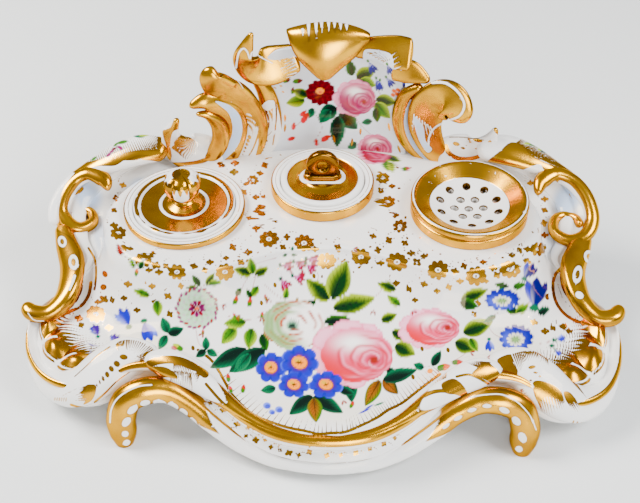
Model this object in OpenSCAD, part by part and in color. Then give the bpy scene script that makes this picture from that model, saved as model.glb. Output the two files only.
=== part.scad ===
// Desk inkstand in gilt porcelain: a scrolled stand on four feet whose raised deck holds two covered
// ink pots and a pounce pot. Millimetres, +X to the right, +Y to the back, +Z up.
// The origin is the centre of the stand's plan, on the table.

/* [Stand] */
// Width over the tips of the side scrolls
stand_w = 288; // [276:1:304]
// Depth from the front rim to the back edge
stand_d = 178; // [172:1:190]
// Height of the deck above the table
deck_h = 58; // [54:1:64]
// Height of the highest leaf of the crest
crest_h = 131; // [126:1:142]
// Thickness of the porcelain shell
wall = 4; // [3:0.5:5]
// Depth of the flutes in the corner shells
flute_depth = 3; // [1:0.5:4]

/* [Pots] */
// Distance of the left pot to the left of the stand's middle
left_pot_out = 67; // [64:0.5:68]
// Distance of the left pot behind the stand's middle
left_pot_back = 31; // [29:0.5:33]
// Distance of the centre pot behind the stand's middle
centre_pot_back = 47; // [45:0.5:48]
// Distance of the pounce pot to the right of the stand's middle
pounce_pot_out = 71; // [68:0.5:72]
// Distance of the pounce pot behind the stand's middle
pounce_pot_back = 30; // [28:0.5:32]
// Diameter of the left ink pot's flange
left_flange_d = 59; // [57:0.5:61]
// Diameter of the centre ink pot's flange
centre_flange_d = 51; // [49:0.5:52]
// Diameter of the pounce pot's rim
pounce_flange_d = 57; // [55:0.5:59]
// Width of the ledge that carries a flange on the deck
flange_ledge = 4.5; // [3.5:0.25:5.5]
// Depth of every pot below the deck
pot_depth = 36; // [30:1:40]
// Wall of every pot
pot_wall = 3; // [2:0.25:4]
// Gap all round between a pot and its socket
socket_gap = 0.8; // [0.5:0.1:1.2]
// Height of the left pot's flange above the deck
left_flange_t = 3.5; // [3:0.25:5]
// Height of the centre pot's flange above the deck
centre_flange_t = 6; // [4:0.25:7]
// Height of the pounce pot's rim above the deck
pounce_rim_t = 9.5; // [8:0.25:11]

/* [Covers] */
// Depth of the step inside a flange where the cover sits
seat_step = 2; // [1.5:0.25:2.5]
// Width of the ring of flange left outside the cover
seat_ring = 4.5; // [3.5:0.25:5]
// Gap all round between a cover and its seat
cover_gap = 0.35; // [0.3:0.05:0.6]
// Depth of the spigot that keeps a cover in the mouth
spigot_depth = 4; // [3:0.5:6]
// Diameter of the bud knob
bud_d = 16; // [13:0.5:18]
// Height of the bud knob above the cover
bud_h = 16; // [12:0.5:20]
// Diameter of the ring knob
ring_d = 16; // [13:0.5:18]
// Diameter of the eye in the ring knob
eye_d = 4.6; // [3:0.2:6]
// Thickness of the ring knob
ring_t = 4.5; // [3.5:0.25:6]

/* [Pounce sieve] */
// Diameter of one sieve hole
sieve_hole_d = 3.4; // [2:0.2:4]
// Diameter of the white pierced dish
sieve_d = 38; // [34:0.5:42]
// Depth of the dish below its edge
sieve_sag = 4; // [2:0.5:5]

/* [Detail] */
// Samples between two sections of the shell
shell_steps = 3; // [3:1:5]
// Rings along an ornament
scroll_rings = 14; // [12:1:24]
// Sides of an ornament
scroll_sides = 8; // [8:1:14]

/* [Hidden] */
$fn = 96;

// The shape is drawn on this plan and then stretched to the sizes above.
plan_w = 287.5;
plan_d = 178;
plan_deck = 58;
plan_crest = 131;
function up_to(z) = z <= plan_deck ? z * deck_h / plan_deck
    : deck_h + (z - plan_deck) * (crest_h - deck_h) / (plan_crest - plan_deck);
// The right front corner stands a little further forward than the left one.
lean = 0.045;
function leant(p) = p[1] - lean * p[0] * min(max(-p[1] / 60, 0), 1);
function placed(p) = [p[0] * stand_w / plan_w, leant(p) * stand_d / plan_d, up_to(p[2])];
// The breadth of a leaf grows with the part of the stand that it covers
spread = [stand_w / plan_w, stand_d / plan_d, (crest_h - deck_h) / (plan_crest - plan_deck)];
function spread_out(v) = [v[0] * spread[0], v[1] * spread[1], v[2] * spread[2]];

left_pot_at = placed([-left_pot_out, left_pot_back, plan_deck]);
centre_pot_at = placed([0, centre_pot_back, plan_deck]);
pounce_pot_at = placed([pounce_pot_out, pounce_pot_back, plan_deck]);

porcelain = "whitesmoke";
gilt = "goldenrod";

// ---------------------------------------------------------------- curves
function spline(a, b, c, d, t) = 0.5 * ((2 * b) + (c - a) * t + (2 * a - 5 * b + 4 * c - d) * t * t
    + (3 * b - a - 3 * c + d) * t * t * t);
// A point at share u, from 0 to 1, of an open row of stations
function along(row, u) = let(last = len(row) - 1, f = min(u * last, last - 0.000001), i = floor(f))
    spline(row[max(i - 1, 0)], row[i], row[i + 1], row[min(i + 2, last)], f - i);
// A point at step f of a closed row
function around(row, f) = let(n = len(row), i = floor(f))
    spline(row[(i - 1 + n) % n], row[i % n], row[(i + 1) % n], row[(i + 2) % n], f - i);
function mix(a, b, t) = a + (b - a) * t;
function unit(v) = v / max(norm(v), 0.000001);
function part(v, from, count) = [for (i = [from : from + count - 1]) v[i]];

// Triangles between rings of k points each, closed by a point at both ends
function ring_faces(rings, k) = concat(
    [for (i = [0 : rings - 2], j = [0 : k - 1]) [i * k + j, i * k + (j + 1) % k, (i + 1) * k + j]],
    [for (i = [0 : rings - 2], j = [0 : k - 1])
        [i * k + (j + 1) % k, (i + 1) * k + (j + 1) % k, (i + 1) * k + j]],
    [for (j = [0 : k - 1]) [rings * k, (j + 1) % k, j]],
    [for (j = [0 : k - 1]) [rings * k + 1, (rings - 1) * k + j, (rings - 1) * k + (j + 1) % k]]);

// A leaf or scroll along stations of [x, y, z, face x, face y, face z, width, thickness].
// The face is the way that its broad side looks, and cup lifts both of its edges that way.
module scroll(stations, cup = 0, sides = scroll_sides, rings = scroll_rings) {
    step = 0.001;
    function spot(u) = placed(part(along(stations, u), 0, 3));
    function ring(u) = let(
        s = along(stations, u),
        p = spot(u),
        way = unit(spot(min(u + step, 1)) - spot(max(u - step, 0))),
        look = part(s, 3, 3),
        face = unit(look - way * (look * way)),
        side = cross(way, face))
        [for (j = [0 : sides - 1]) let(a = 360 * j / sides, c = cos(a))
            p + spread_out(side) * (s[6] / 2 * c) + face * (s[7] / 2 * sin(a) + cup * s[6] * (c * c - 0.3))];
    function middle(r) = [for (i = [0 : 2]) [for (q = r) q[i]] * [for (q = r) 1] / len(r)];
    loops = [for (i = [0 : rings - 1]) ring(i / (rings - 1))];
    polyhedron(concat([for (r = loops, q = r) q], [middle(loops[0]), middle(loops[rings - 1])]),
               ring_faces(rings, sides));
}

// ---------------------------------------------------------------- shell of the stand
// Sections of the right half, from the middle of the front round to the middle of the back:
// [rim x, rim y, deck x, deck y, height at the foot of the deck's wall, in the tray, on the rim,
//  at the base, share of shell fluting]
half_sections = [
    [0, -89, 0, 3, 38, 27, 29, 4, 0],
    [20, -86, 19, 1, 38, 27, 29, 4, 0],
    [36, -77.5, 34, -5, 38, 28, 30, 6, 0],
    [52, -65, 49, -11, 38, 30, 33, 13, 0],
    [68, -56.5, 62, -13, 38, 32, 37, 18, 0],
    [86, -55, 75, -11, 37, 31, 36, 17, 0.2],
    [104, -59, 87, -7, 35, 27, 28, 10, 0.8],
    [119, -57, 95, -1, 35, 26, 24, 9, 1],
    [132, -47.5, 101, 7, 35, 26, 23, 9, 1],
    [140, -31, 104, 14, 35, 27, 24, 10, 1],
    [139, -14, 105, 20, 36, 30, 29, 13, 0.5],
    [124, -1, 106, 25, 38, 34, 36, 18, 0],
    [119, 12, 106, 30, 38, 35, 39.5, 20, 0],
    [128, 26, 105, 35, 40, 38, 41.5, 17, 0],
    [134, 42, 101, 45, 42, 40, 47, 12, 0],
    [127, 58, 93, 55, 47, 46, 55, 10, 0],
    [106, 71, 79, 63, 53, 54, 61, 9, 0],
    [78, 80, 62, 67, 56, 56, 61, 8, 0],
    [48, 86, 42, 72, 57, 56, 57, 8, 0],
    [22, 88.8, 20, 78, 57, 56.5, 56, 8, 0],
    [0, 89, 0, 80, 57, 56.5, 56, 8, 0]];
half_rows = len(half_sections);
function mirrored(s) = [for (i = [0 : len(s) - 1]) (i == 0 || i == 2) ? -s[i] : s[i]];
sections = concat(half_sections, [for (i = [half_rows - 2 : -1 : 1]) mirrored(half_sections[i])]);
deck_middle = [0, 30];
deck_flat = 0.93;
fan_at = [86, -27];
flute_angle = 21;

// Scallops of the corner shells, which spread from fan_at
function flute(x, y) = flute_depth * (abs(sin(180 * atan2(y - fan_at[1], abs(x) - fan_at[0]) / flute_angle))
    - 0.5);

// One section of the shell as a closed row of points: over the deck's edge, down its wall, across the
// tray, over a fine inner bead and the rolled rim, down the channel and round the lower roll below it,
// and back up inside
function section(f) = let(
    s = around(sections, f),
    rim = [s[0], s[1]],
    deck = [s[2], s[3]],
    foot = s[4], tray = s[5], top = s[6], base = s[7], fan = min(max(s[8], 0), 1),
    reach = max(norm(rim - deck), 4),
    out = (rim - deck) / reach,
    near = min(reach / 30, 1),
    low = (top - base) / 25,
    fall = plan_deck - foot,
    skin = wall * plan_deck / deck_h,
    wave = fan * flute(mix(deck[0], rim[0], 0.8), mix(deck[1], rim[1], 0.8)),
    outer = [
        [mix(deck_middle, deck, deck_flat), plan_deck],
        [mix(deck_middle, deck, 0.97), plan_deck - 0.045 * fall],
        [mix(deck, rim, 0.005), plan_deck - 0.2 * fall],
        [mix(deck, rim, 0.06), plan_deck - 0.55 * fall],
        [mix(deck, rim, 0.17), plan_deck - 0.975 * fall],
        [mix(deck, rim, 0.36), mix(foot, tray, 0.75)],
        [mix(deck, rim, 0.62), tray + 0.6 * wave],
        [rim - out * 15 * near, mix(tray, top, 0.5) + wave + 1.5 * fan],
        [rim - out * 9.5 * near, top - 0.9 + 0.7 * wave - 0.5 * fan],
        [rim - out * 6.5 * near, top - 1.8 - 1.5 * fan],
        [rim - out * 2.5 * near, top],
        [rim - out * 0.4 * near, top - 3 * low],
        [rim - out * 1.4 * near, top - 6.5 * low],
        [rim - out * 3 * near, top - 10.5 * low],
        [rim - out * 1.2 * near, top - 14.5 * low],
        [rim - out * 2 * near, top - 16 * low],
        [rim, top - 20 * low],
        [rim - out * 1.2 * near, top - 23.5 * low],
        [rim - out * 3.5 * near, base]],
    inner = [
        [rim - out * (3.5 * near + wall), base],
        [rim - out * (9 * near + wall), mix(base, top - skin, 0.6)],
        [mix(deck, rim, 0.5), tray - skin - 1],
        [mix(deck, rim, 0.15) - out * wall * 0.7, foot - skin],
        [deck - out * wall * near, plan_deck - 0.2 * fall - skin],
        [mix(deck_middle, deck, deck_flat - 0.03), plan_deck - skin]])
    [for (q = concat(outer, inner)) placed([q[0][0], q[0][1], q[1]])];

module stand_casting() {
    turns = len(sections) * shell_steps;
    rows = [for (i = [0 : turns - 1]) section(i / shell_steps)];
    rings = len(rows[0]);
    // ring r holds point r of every section
    points = [for (r = [0 : rings - 1], i = [0 : turns - 1]) rows[i][r]];
    top_middle = placed([deck_middle[0], deck_middle[1], plan_deck]);
    polyhedron(concat(points, [top_middle, top_middle - [0, 0, wall]]), ring_faces(rings, turns));
}

function body_r(flange_d) = flange_d / 2 - flange_ledge;

module socket(at, flange_d) {
    depth = 3 * wall;
    translate([at[0], at[1], deck_h - depth]) cylinder(r = body_r(flange_d) + socket_gap, h = 2 * depth);
}

module stand_shell() {
    color(porcelain) difference() {
        stand_casting();
        socket(left_pot_at, left_flange_d);
        socket(centre_pot_at, centre_flange_d);
        socket(pounce_pot_at, pounce_flange_d);
    }
}

// ---------------------------------------------------------------- crest
module crest_plate() {
    color(porcelain) scroll([
        [5, 80, 53, 0, -1, 0.2, 78, 6],
        [6, 81, 65, 0, -1, 0.2, 73, 6.5],
        [7, 83, 80, 0, -1, 0.1, 69, 6.5],
        [6, 84, 96, 0, -1, 0, 70, 6],
        [4, 84, 109, 0, -1, -0.1, 68, 5.5],
        [4, 83, 118, 0, -1, -0.2, 48, 4]], 0.06, 12, 10);
}

// The curled shell at the top, whose tip hangs over in front
module crest_shell() {
    color(gilt) scroll([
        [3, 85, 108, 0, 1, 0, 30, 4],
        [3, 86, 118, 0, 1, 0.3, 36, 4.5],
        [3, 83.5, 127, 0, 0.5, 1, 40, 5],
        [2, 78, 126, 0, -0.7, 1, 39, 5],
        [1, 73.5, 117, 0, -1, 0.4, 28, 5],
        [0.8, 71.3, 106, 0, -1, 0.1, 5, 3.5]], -0.08, 12);
}

module crest_leaf_left() {
    color(gilt) scroll([
        [-12, 83, 112, 0, -1, 0.3, 14, 4],
        [-24, 82, 108, 0, -1, 0.3, 20, 5],
        [-33, 79.5, 108, -0.2, -1, 0.3, 17, 5],
        [-38, 77.5, 114, -0.3, -1, 0.3, 11, 5],
        [-36, 77.5, 122, -0.2, -1, 0.2, 6.5, 4],
        [-33.5, 78, 128.5, -0.2, -1, 0.2, 2, 2.5]], 0.08);
}

module crest_leaf_right() {
    color(gilt) scroll([
        [15, 84, 116, 0, -1, 0.3, 9, 4],
        [26, 82, 117, 0, -1, 0.3, 13, 5],
        [36, 79, 117, 0.1, -1, 0.3, 17, 5],
        [43.5, 76.5, 117, 0.2, -1, 0.3, 16, 3.5]], 0.08);
}

module crest_tip_right() {
    color(gilt) scroll([
        [34, 82.5, 106, 0, -1, 0.2, 13, 4],
        [44, 79.5, 105, 0.1, -1, 0.2, 12, 4.5],
        [52.5, 76, 102, 0.2, -1, 0.2, 3, 3]], 0.08, scroll_sides, 8);
}

// The raised edges that frame the painted panel
module crest_border_left() {
    color(gilt) scroll([
        [-33, 80, 101, 0, -1, 0.2, 5, 4],
        [-28, 80, 92, 0, -1, 0.2, 9, 6],
        [-25.5, 79, 78, 0, -1, 0.2, 10, 7],
        [-27, 79, 64, 0, -1, 0.3, 9, 7],
        [-33, 77, 54.5, 0, -1, 0.5, 7, 5]], 0.02);
}

module crest_border_right() {
    color(gilt) scroll([
        [49, 76, 99, 0, -1, 0.2, 5, 5],
        [42, 78, 92, 0, -1, 0.2, 8, 6],
        [39.5, 78.5, 79, 0, -1, 0.2, 9, 7],
        [43, 78, 66, 0, -1, 0.3, 9, 7],
        [51, 75.5, 58, 0, -1, 0.6, 8, 6],
        [60, 71, 55, 0, -0.8, 0.8, 6, 5]], 0.02);
}

module acanthus_outer_left() {
    color(gilt) scroll([
        [-41, 76.5, 53, 0, -1, 0.3, 13, 6],
        [-36, 77, 66, -0.1, -1, 0.2, 15, 7],
        [-36, 76, 79, -0.2, -1, 0.2, 17, 7],
        [-41, 74, 92, -0.3, -1, 0.3, 18, 7],
        [-48.5, 71, 101, -0.3, -1, 0.4, 17, 7],
        [-53.5, 69, 109, -0.2, -1, 0.5, 12, 7],
        [-53, 69.5, 115, -0.2, -1, 0.4, 4, 4]], 0.05);
}

module acanthus_crescent_left() {
    color(gilt) scroll([
        [-51, 73, 53.5, 0.1, -1, 0.3, 11, 6],
        [-46, 73, 66, 0.1, -1, 0.3, 12, 7],
        [-44.5, 73, 79, 0, -1, 0.3, 14, 7],
        [-49, 71, 90, 0, -1, 0.4, 13, 7],
        [-57, 68, 96, 0, -1, 0.5, 9, 6],
        [-65, 66, 94, 0, -1, 0.4, 3, 4]], 0.05);
}

module acanthus_curl_left() {
    color(gilt) scroll([
        [-64, 70.5, 58, 0, -1, 0.4, 6, 5],
        [-56, 71, 61, 0, -1, 0.3, 8, 5.5],
        [-51.5, 70, 70, 0, -1, 0.3, 9, 6],
        [-51.5, 68, 81, 0, -1, 0.3, 8, 6],
        [-56, 66.5, 88.5, 0, -1, 0.3, 5, 5],
        [-62, 65.5, 90, 0, -1, 0.3, 2, 3]], 0.05);
}

module crest_scroll_right() {
    color(gilt) scroll([
        [64, 72, 53.5, 0, -1, 0.3, 9, 6],
        [56, 74, 64, 0.1, -1, 0.2, 13, 6.5],
        [51.5, 75, 77, 0.1, -1, 0.2, 17, 7],
        [53.5, 74, 89, 0, -1, 0.2, 20, 7],
        [60.5, 71, 95.5, -0.2, -1, 0.3, 20, 7],
        [67.5, 68, 93, -0.3, -1, 0.3, 13, 7],
        [69.5, 66.5, 87, -0.3, -1, 0.3, 5, 5]], 0.1);
}

// ---------------------------------------------------------------- leaves round the back of the deck
module boat_leaf_left() {
    color(porcelain) scroll([
        [-50, 72.5, 60, 0, -1, 0.4, 13, 5],
        [-61, 71.5, 62, 0, -1, 0.4, 19, 5.5],
        [-70.5, 70, 65, -0.1, -1, 0.4, 19, 5.5],
        [-75.5, 68.5, 75, -0.2, -1, 0.3, 10, 5],
        [-71.5, 67, 86, -0.2, -1, 0.2, 2.5, 3]], 0.08, scroll_sides, 12);
}

module boat_leaf_right() {
    color(porcelain) scroll([
        [58, 73, 60, 0, -1, 0.5, 13, 5],
        [68, 73, 61, 0, -1, 0.5, 18, 5.5],
        [78, 71.5, 63.5, 0.1, -1, 0.5, 16, 5.5],
        [84, 70, 71, 0.2, -1, 0.3, 8, 5],
        [86.5, 68.5, 79, 0.2, -1, 0.2, 2.5, 3]], 0.08, scroll_sides, 12);
}

module shoulder_leaf(side) {
    color(porcelain) scroll([
        [side * 78, 68.5, 66, side * 0.1, -0.3, 1, 12, 8],
        [side * 92, 67.5, 66.5, side * 0.2, -0.3, 1, 18, 9],
        [side * 105, 64.5, 63.5, side * 0.3, -0.2, 1, 17, 9],
        [side * 117, 60, 59, side * 0.5, -0.1, 1, 12, 8],
        [side * 127, 53, 55, side * 0.7, 0, 1, 8, 8],
        [side * 133, 43, 50, side * 0.9, 0, 0.8, 6, 7],
        [side * 133.5, 34, 45, side, 0, 0.6, 4, 5]], -0.03, 10);
}
module shoulder_leaf_left() { shoulder_leaf(-1); }
module shoulder_leaf_right() { shoulder_leaf(1); }

// The gilt rod that falls from the shoulder, arches round the recess and ends in a curl
module volute(side) {
    color(gilt) scroll([
        [side * 107, 46, 55, side * 0.3, -0.2, 1, 3, 4],
        [side * 109.5, 52, 58.5, side * 0.3, -0.2, 1, 8, 6],
        [side * 117, 56.5, 60, side * 0.3, 0, 1, 8, 6],
        [side * 126, 53.5, 57.5, side * 0.3, 0, 1, 7, 6],
        [side * 132, 46, 53.5, side * 0.4, 0, 1, 7, 6],
        [side * 134, 37, 48, side * 0.4, 0, 1, 7, 6],
        [side * 130, 30, 44, side * 0.2, 0, 1, 7, 6],
        [side * 122, 28.5, 41.5, 0, 0, 1, 6.5, 6],
        [side * 115.5, 34, 41.5, 0, 0, 1, 5.5, 6],
        [side * 116, 42.5, 42.5, 0, 0, 1, 5, 6],
        [side * 122.5, 44.5, 42.5, 0, 0, 1, 4, 5.5]], 0, scroll_sides, 28);
}
module volute_left() { volute(-1); }
module volute_right() { volute(1); }

// ---------------------------------------------------------------- sides
module side_scroll(side) {
    color(gilt) scroll([
        [side * 130.5, 31, 42, side * 0.6, 0, 1, 7, 6],
        [side * 126.5, 22, 40.5, side * 0.6, 0, 1, 11, 8],
        [side * 121.5, 11, 39, side * 0.6, 0, 1, 13.5, 9],
        [side * 121, 1, 36.5, side * 0.6, 0, 1, 13, 9],
        [side * 123.5, -8, 33.5, side * 0.5, 0.1, 1, 11, 9],
        [side * 130, -14, 30.5, side * 0.3, 0.2, 1, 9, 8],
        [side * 138, -14, 31, side * 0.2, 0.3, 1, 8.5, 8],
        [side * 141.5, -9, 33, side * 0.2, 0.3, 1, 5.5, 6]], 0.04, scroll_sides, 18);
}
module side_scroll_left() { side_scroll(-1); }
module side_scroll_right() { side_scroll(1); }

// ---------------------------------------------------------------- front
// The plump white scroll that wraps each front corner
module corner_scroll(side) {
    color(porcelain) scroll([
        [side * 74, -47, 33, 0, -0.4, 1, 8, 8],
        [side * 81, -45, 32.5, 0, -0.5, 1, 15, 11],
        [side * 90, -46, 32, side * 0.1, -0.6, 1, 20, 12],
        [side * 99, -50.5, 28, side * 0.2, -0.7, 0.9, 21, 13],
        [side * 108, -54, 22, side * 0.3, -0.8, 0.8, 19, 13],
        [side * 118, -52, 16.5, side * 0.4, -0.8, 0.7, 17, 12],
        [side * 128, -45, 14, side * 0.7, -0.7, 0.6, 13, 11],
        [side * 135.5, -33, 14.5, side, -0.3, 0.5, 8, 8],
        [side * 138.5, -20, 17, side, 0, 0.5, 4, 4]], 0, 10, 18);
}
module corner_scroll_left() { corner_scroll(-1); }
module corner_scroll_right() { corner_scroll(1); }

// The lower moulding of the front rises from the middle, arches over and comes down as a leg
module front_scroll_leg(side) {
    toe = side < 0 ? 3.5 : 0.5;
    color(gilt) scroll([
        [side * 5, -85.5, 8, 0, -1, 0.4, 4, 4],
        [side * 20, -83, 8, side * 0.2, -1, 0.4, 7, 6],
        [side * 36, -75.5, 9.5, side * 0.3, -1, 0.5, 9, 8],
        [side * 50, -68, 15.5, side * 0.3, -1, 0.5, 10.5, 9],
        [side * 60, -63, 22, side * 0.2, -1, 0.5, 11, 10],
        [side * 70, -60.5, 27, 0, -1, 0.5, 12, 11],
        [side * 80, -59 - toe / 2, 28, 0, -1, 0.4, 13, 11],
        [side * 88, -61 - toe, 23.5, 0, -1, 0.2, 13.5, 11.5],
        [side * 91, -64 - toe, 15, 0, -1, 0, 13.5, 11.5],
        [side * 91, -65 - toe, 8, 0, -1, 0, 13, 11],
        [side * 91, -65 - toe, 4, 0, -1, 0, 11.5, 10.5],
        [side * 91, -65 - toe, 0, 0, -1, 0, 9, 9]], 0, 10, 26);
}
module front_scroll_leg_left() { front_scroll_leg(-1); }
module front_scroll_leg_right() { front_scroll_leg(1); }

// The broad leaf over each arch, which thins into the gilt roll along the front rim
module rim_leaf(side) {
    color(porcelain) scroll([
        [side * 80, -50, 36, side * -0.2, -0.5, 1, 6, 5],
        [side * 71, -52, 36.5, 0, -0.6, 1, 13, 8],
        [side * 61, -56, 35, side * 0.1, -0.7, 1, 13, 9],
        [side * 51, -62, 32, side * 0.3, -0.8, 1, 10, 8],
        [side * 42, -68.5, 30, side * 0.3, -0.8, 1, 7, 6],
        [side * 33, -75, 28.5, side * 0.2, -0.8, 1, 5, 5],
        [side * 22, -81, 27.5, side * 0.1, -0.8, 1, 4.5, 4.5],
        [side * 10, -84.5, 27, 0, -0.8, 1, 4, 4],
        [side * 2, -85.5, 27, 0, -0.8, 1, 3, 3]], 0, scroll_sides, 20);
}
module rim_leaf_left() { rim_leaf(-1); }
module rim_leaf_right() { rim_leaf(1); }

module rear_foot(side) {
    color(porcelain) scroll([
        [side * 82, 73.5, 15, 0, 1, 0, 19, 8],
        [side * 82, 73.5, 7, 0, 1, 0, 15, 10],
        [side * 82, 73.5, 0, 0, 1, 0, 11, 10]], 0, 10, 6);
}
module rear_foot_left() { rear_foot(-1); }
module rear_foot_right() { rear_foot(1); }

// ---------------------------------------------------------------- pots
// Radii and heights of a pot, counted from the middle of its socket at the top of the deck
function seat_r(flange_d) = flange_d / 2 - seat_ring;
function mouth_r(flange_d) = body_r(flange_d) - pot_wall;

module ink_pot(at, flange_d, flange_t) {
    rf = flange_d / 2;
    rb = body_r(flange_d);
    rm = mouth_r(flange_d);
    rs = seat_r(flange_d);
    heel = 3;
    soft = 0.8;
    translate([at[0], at[1], deck_h]) rotate_extrude() polygon([
        [0, -pot_depth], [rb - heel, -pot_depth], [rb - 0.3 * heel, heel * 0.3 - pot_depth],
        [rb, heel - pot_depth], [rb, 0],
        [rf - soft, 0], [rf, soft], [rf, flange_t - soft], [rf - 0.3 * soft, flange_t - 0.3 * soft],
        [rf - soft, flange_t], [rs, flange_t], [rs, flange_t - seat_step], [rm, flange_t - seat_step],
        [rm, pot_wall + heel - pot_depth], [rm - 0.3 * heel, pot_wall + 0.3 * heel - pot_depth],
        [rm - heel, pot_wall - pot_depth], [0, pot_wall - pot_depth]]);
}

module left_ink_pot() { color(porcelain) ink_pot(left_pot_at, left_flange_d, left_flange_t); }
module centre_ink_pot() { color(gilt) ink_pot(centre_pot_at, centre_flange_d, centre_flange_t); }

// The disc of a cover, with a raised bead at its edge and a spigot below. Heights count from its seat.
module cover_disc(flange_d, neck_r, neck_h) {
    rc = seat_r(flange_d) - cover_gap;
    rp = mouth_r(flange_d) - cover_gap;
    bead = 3.4;
    pan = 2.4;
    spigot_wall = 2.5;
    rotate_extrude() polygon([
        [0, 0], [rp - spigot_wall, 0], [rp - spigot_wall, -spigot_depth], [rp, -spigot_depth], [rp, 0],
        [rc - 0.5, 0], [rc, 0.5], [rc, bead - 1], [rc - 0.5, bead - 0.2], [rc - 1.4, bead],
        [rc - 2.6, bead - 0.2], [rc - 3.6, pan], [neck_r + 4, pan + 0.4], [neck_r + 1, neck_h - 0.6],
        [neck_r, neck_h], [0, neck_h]]);
}

module left_cover() {
    neck_r = 4.5;
    neck_h = 5;
    lobes = 6;
    color(gilt) translate([left_pot_at[0], left_pot_at[1], deck_h + left_flange_t - seat_step]) {
        cover_disc(left_flange_d, neck_r, neck_h);
        translate([0, 0, neck_h]) bud(neck_r, lobes);
    }
}

// A flower bud with lobed sides: rings of [share of the height, share of the radius]
module bud(neck_r, lobes) {
    profile = [[0, 0.45], [0.12, 0.6], [0.35, 0.95], [0.55, 1], [0.75, 0.86], [0.9, 0.6], [1, 0.3]];
    k = 24;
    rings = 10;
    function ring(u) = let(p = along(profile, u), r = p[1] * bud_d / 2)
        [for (j = [0 : k - 1]) let(a = 360 * j / k, petal = abs(sin(a * lobes / 2)))
            [r * (0.9 + 0.1 * petal) * cos(a), r * (0.9 + 0.1 * petal) * sin(a),
             bud_h * (p[0] + 0.06 * u * petal)]];
    loops = [for (i = [0 : rings - 1]) ring(i / (rings - 1))];
    polyhedron(concat([for (r = loops, q = r) q], [[0, 0, 0], [0, 0, 0.92 * bud_h]]),
               [for (f = ring_faces(rings, k)) [f[0], f[2], f[1]]]);
}

module centre_cover() {
    neck_h = 4.2;
    bar_l = 18;
    bar_w = 8;
    bar_h = 2.5;
    sunk = 1;
    ring_sunk = 3.4;
    color(gilt) translate([centre_pot_at[0], centre_pot_at[1], deck_h + centre_flange_t - seat_step]) {
        difference() {
            union() {
                cover_disc(centre_flange_d, bar_l / 2, neck_h);
                for (end = [-1, 1])
                    translate([end * (bar_l - bar_w) / 2, 0, neck_h - sunk])
                        cylinder(d = bar_w, h = bar_h + sunk);
                translate([-(bar_l - bar_w) / 2, -bar_w / 2, neck_h - sunk])
                    cube([bar_l - bar_w, bar_w, bar_h + sunk]);
                translate([0, ring_t / 2, neck_h + bar_h + ring_d / 2 - ring_sunk]) rotate([90, 0, 0])
                    cylinder(d = ring_d, h = ring_t);
            }
            translate([0, ring_t, neck_h + bar_h + ring_d / 2 - ring_sunk]) rotate([90, 0, 0])
                cylinder(d = eye_d, h = 2 * ring_t);
        }
    }
}

// ---------------------------------------------------------------- pounce pot
module sieve_hole(r, turn, bottom) {
    translate([r * cos(turn), r * sin(turn), bottom]) cylinder(d = sieve_hole_d, h = 2 * pounce_rim_t);
}

module pounce_pot() {
    rf = pounce_flange_d / 2;
    rb = body_r(pounce_flange_d);
    rs = sieve_d / 2;
    band = 5.5;
    heel = 3;
    edge = pounce_rim_t - 4.5;
    shell = 2.5;
    bottom = edge - 2 * sieve_sag;
    inner_holes = 6;
    outer_holes = 10;
    color(gilt) translate([pounce_pot_at[0], pounce_pot_at[1], deck_h]) difference() {
        rotate_extrude() polygon([
            [0, -pot_depth], [rb - heel, -pot_depth], [rb - 0.3 * heel, heel * 0.3 - pot_depth],
            [rb, heel - pot_depth], [rb, 0], [rf - 1, 0], [rf, 0.8], [rf, band - 0.8],
            [rf - 1.2, band], [rf, band + 0.8], [rf + 0.2, pounce_rim_t - 1.6],
            [rf - 0.6, pounce_rim_t - 0.4], [rf - 1.8, pounce_rim_t], [rf - 3, pounce_rim_t - 0.5],
            [rs, edge], [0.6 * rs, edge - 0.7 * sieve_sag], [0, edge - sieve_sag],
            [0, edge - sieve_sag - shell], [0.6 * rs, edge - 0.7 * sieve_sag - shell],
            [rb - pot_wall, edge - shell - 0.2 * sieve_sag],
            [rb - pot_wall, pot_wall - pot_depth], [0, pot_wall - pot_depth]]);
        sieve_hole(0, 0, bottom);
        for (k = [1 : inner_holes]) sieve_hole(0.37 * rs, 360 * k / inner_holes, bottom);
        for (k = [1 : outer_holes]) sieve_hole(0.76 * rs, 360 * (k - 0.5) / outer_holes, bottom);
    }
}

stand_shell();
crest_plate();
crest_shell();
crest_leaf_left();
crest_leaf_right();
crest_tip_right();
crest_border_left();
crest_border_right();
acanthus_outer_left();
acanthus_crescent_left();
acanthus_curl_left();
crest_scroll_right();
boat_leaf_left();
boat_leaf_right();
shoulder_leaf_left();
shoulder_leaf_right();
side_scroll_left();
side_scroll_right();
volute_left();
volute_right();
corner_scroll_left();
corner_scroll_right();
rim_leaf_left();
rim_leaf_right();
front_scroll_leg_left();
front_scroll_leg_right();
rear_foot_left();
rear_foot_right();
left_ink_pot();
left_cover();
centre_ink_pot();
centre_cover();
pounce_pot();
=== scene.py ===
"""Looks of a porcelain desk inkstand: white glaze, painted flowers and worn gilding on a scrolled stand.

The shapes are worked out in millimetres and put into meshes in metres. Each surface carries three painted
attributes: the enamel's colour, the depth inside the gilding's edge and the tone of the gold. One finish
turns them into glaze, enamel and burnished gold.
"""
from __future__ import annotations

import logging
import math
from dataclasses import dataclass, field
from enum import Enum
from typing import Any, Callable, Iterable, Sequence

import bpy
import numpy as np
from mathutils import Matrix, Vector
from numpy.typing import NDArray


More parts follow.
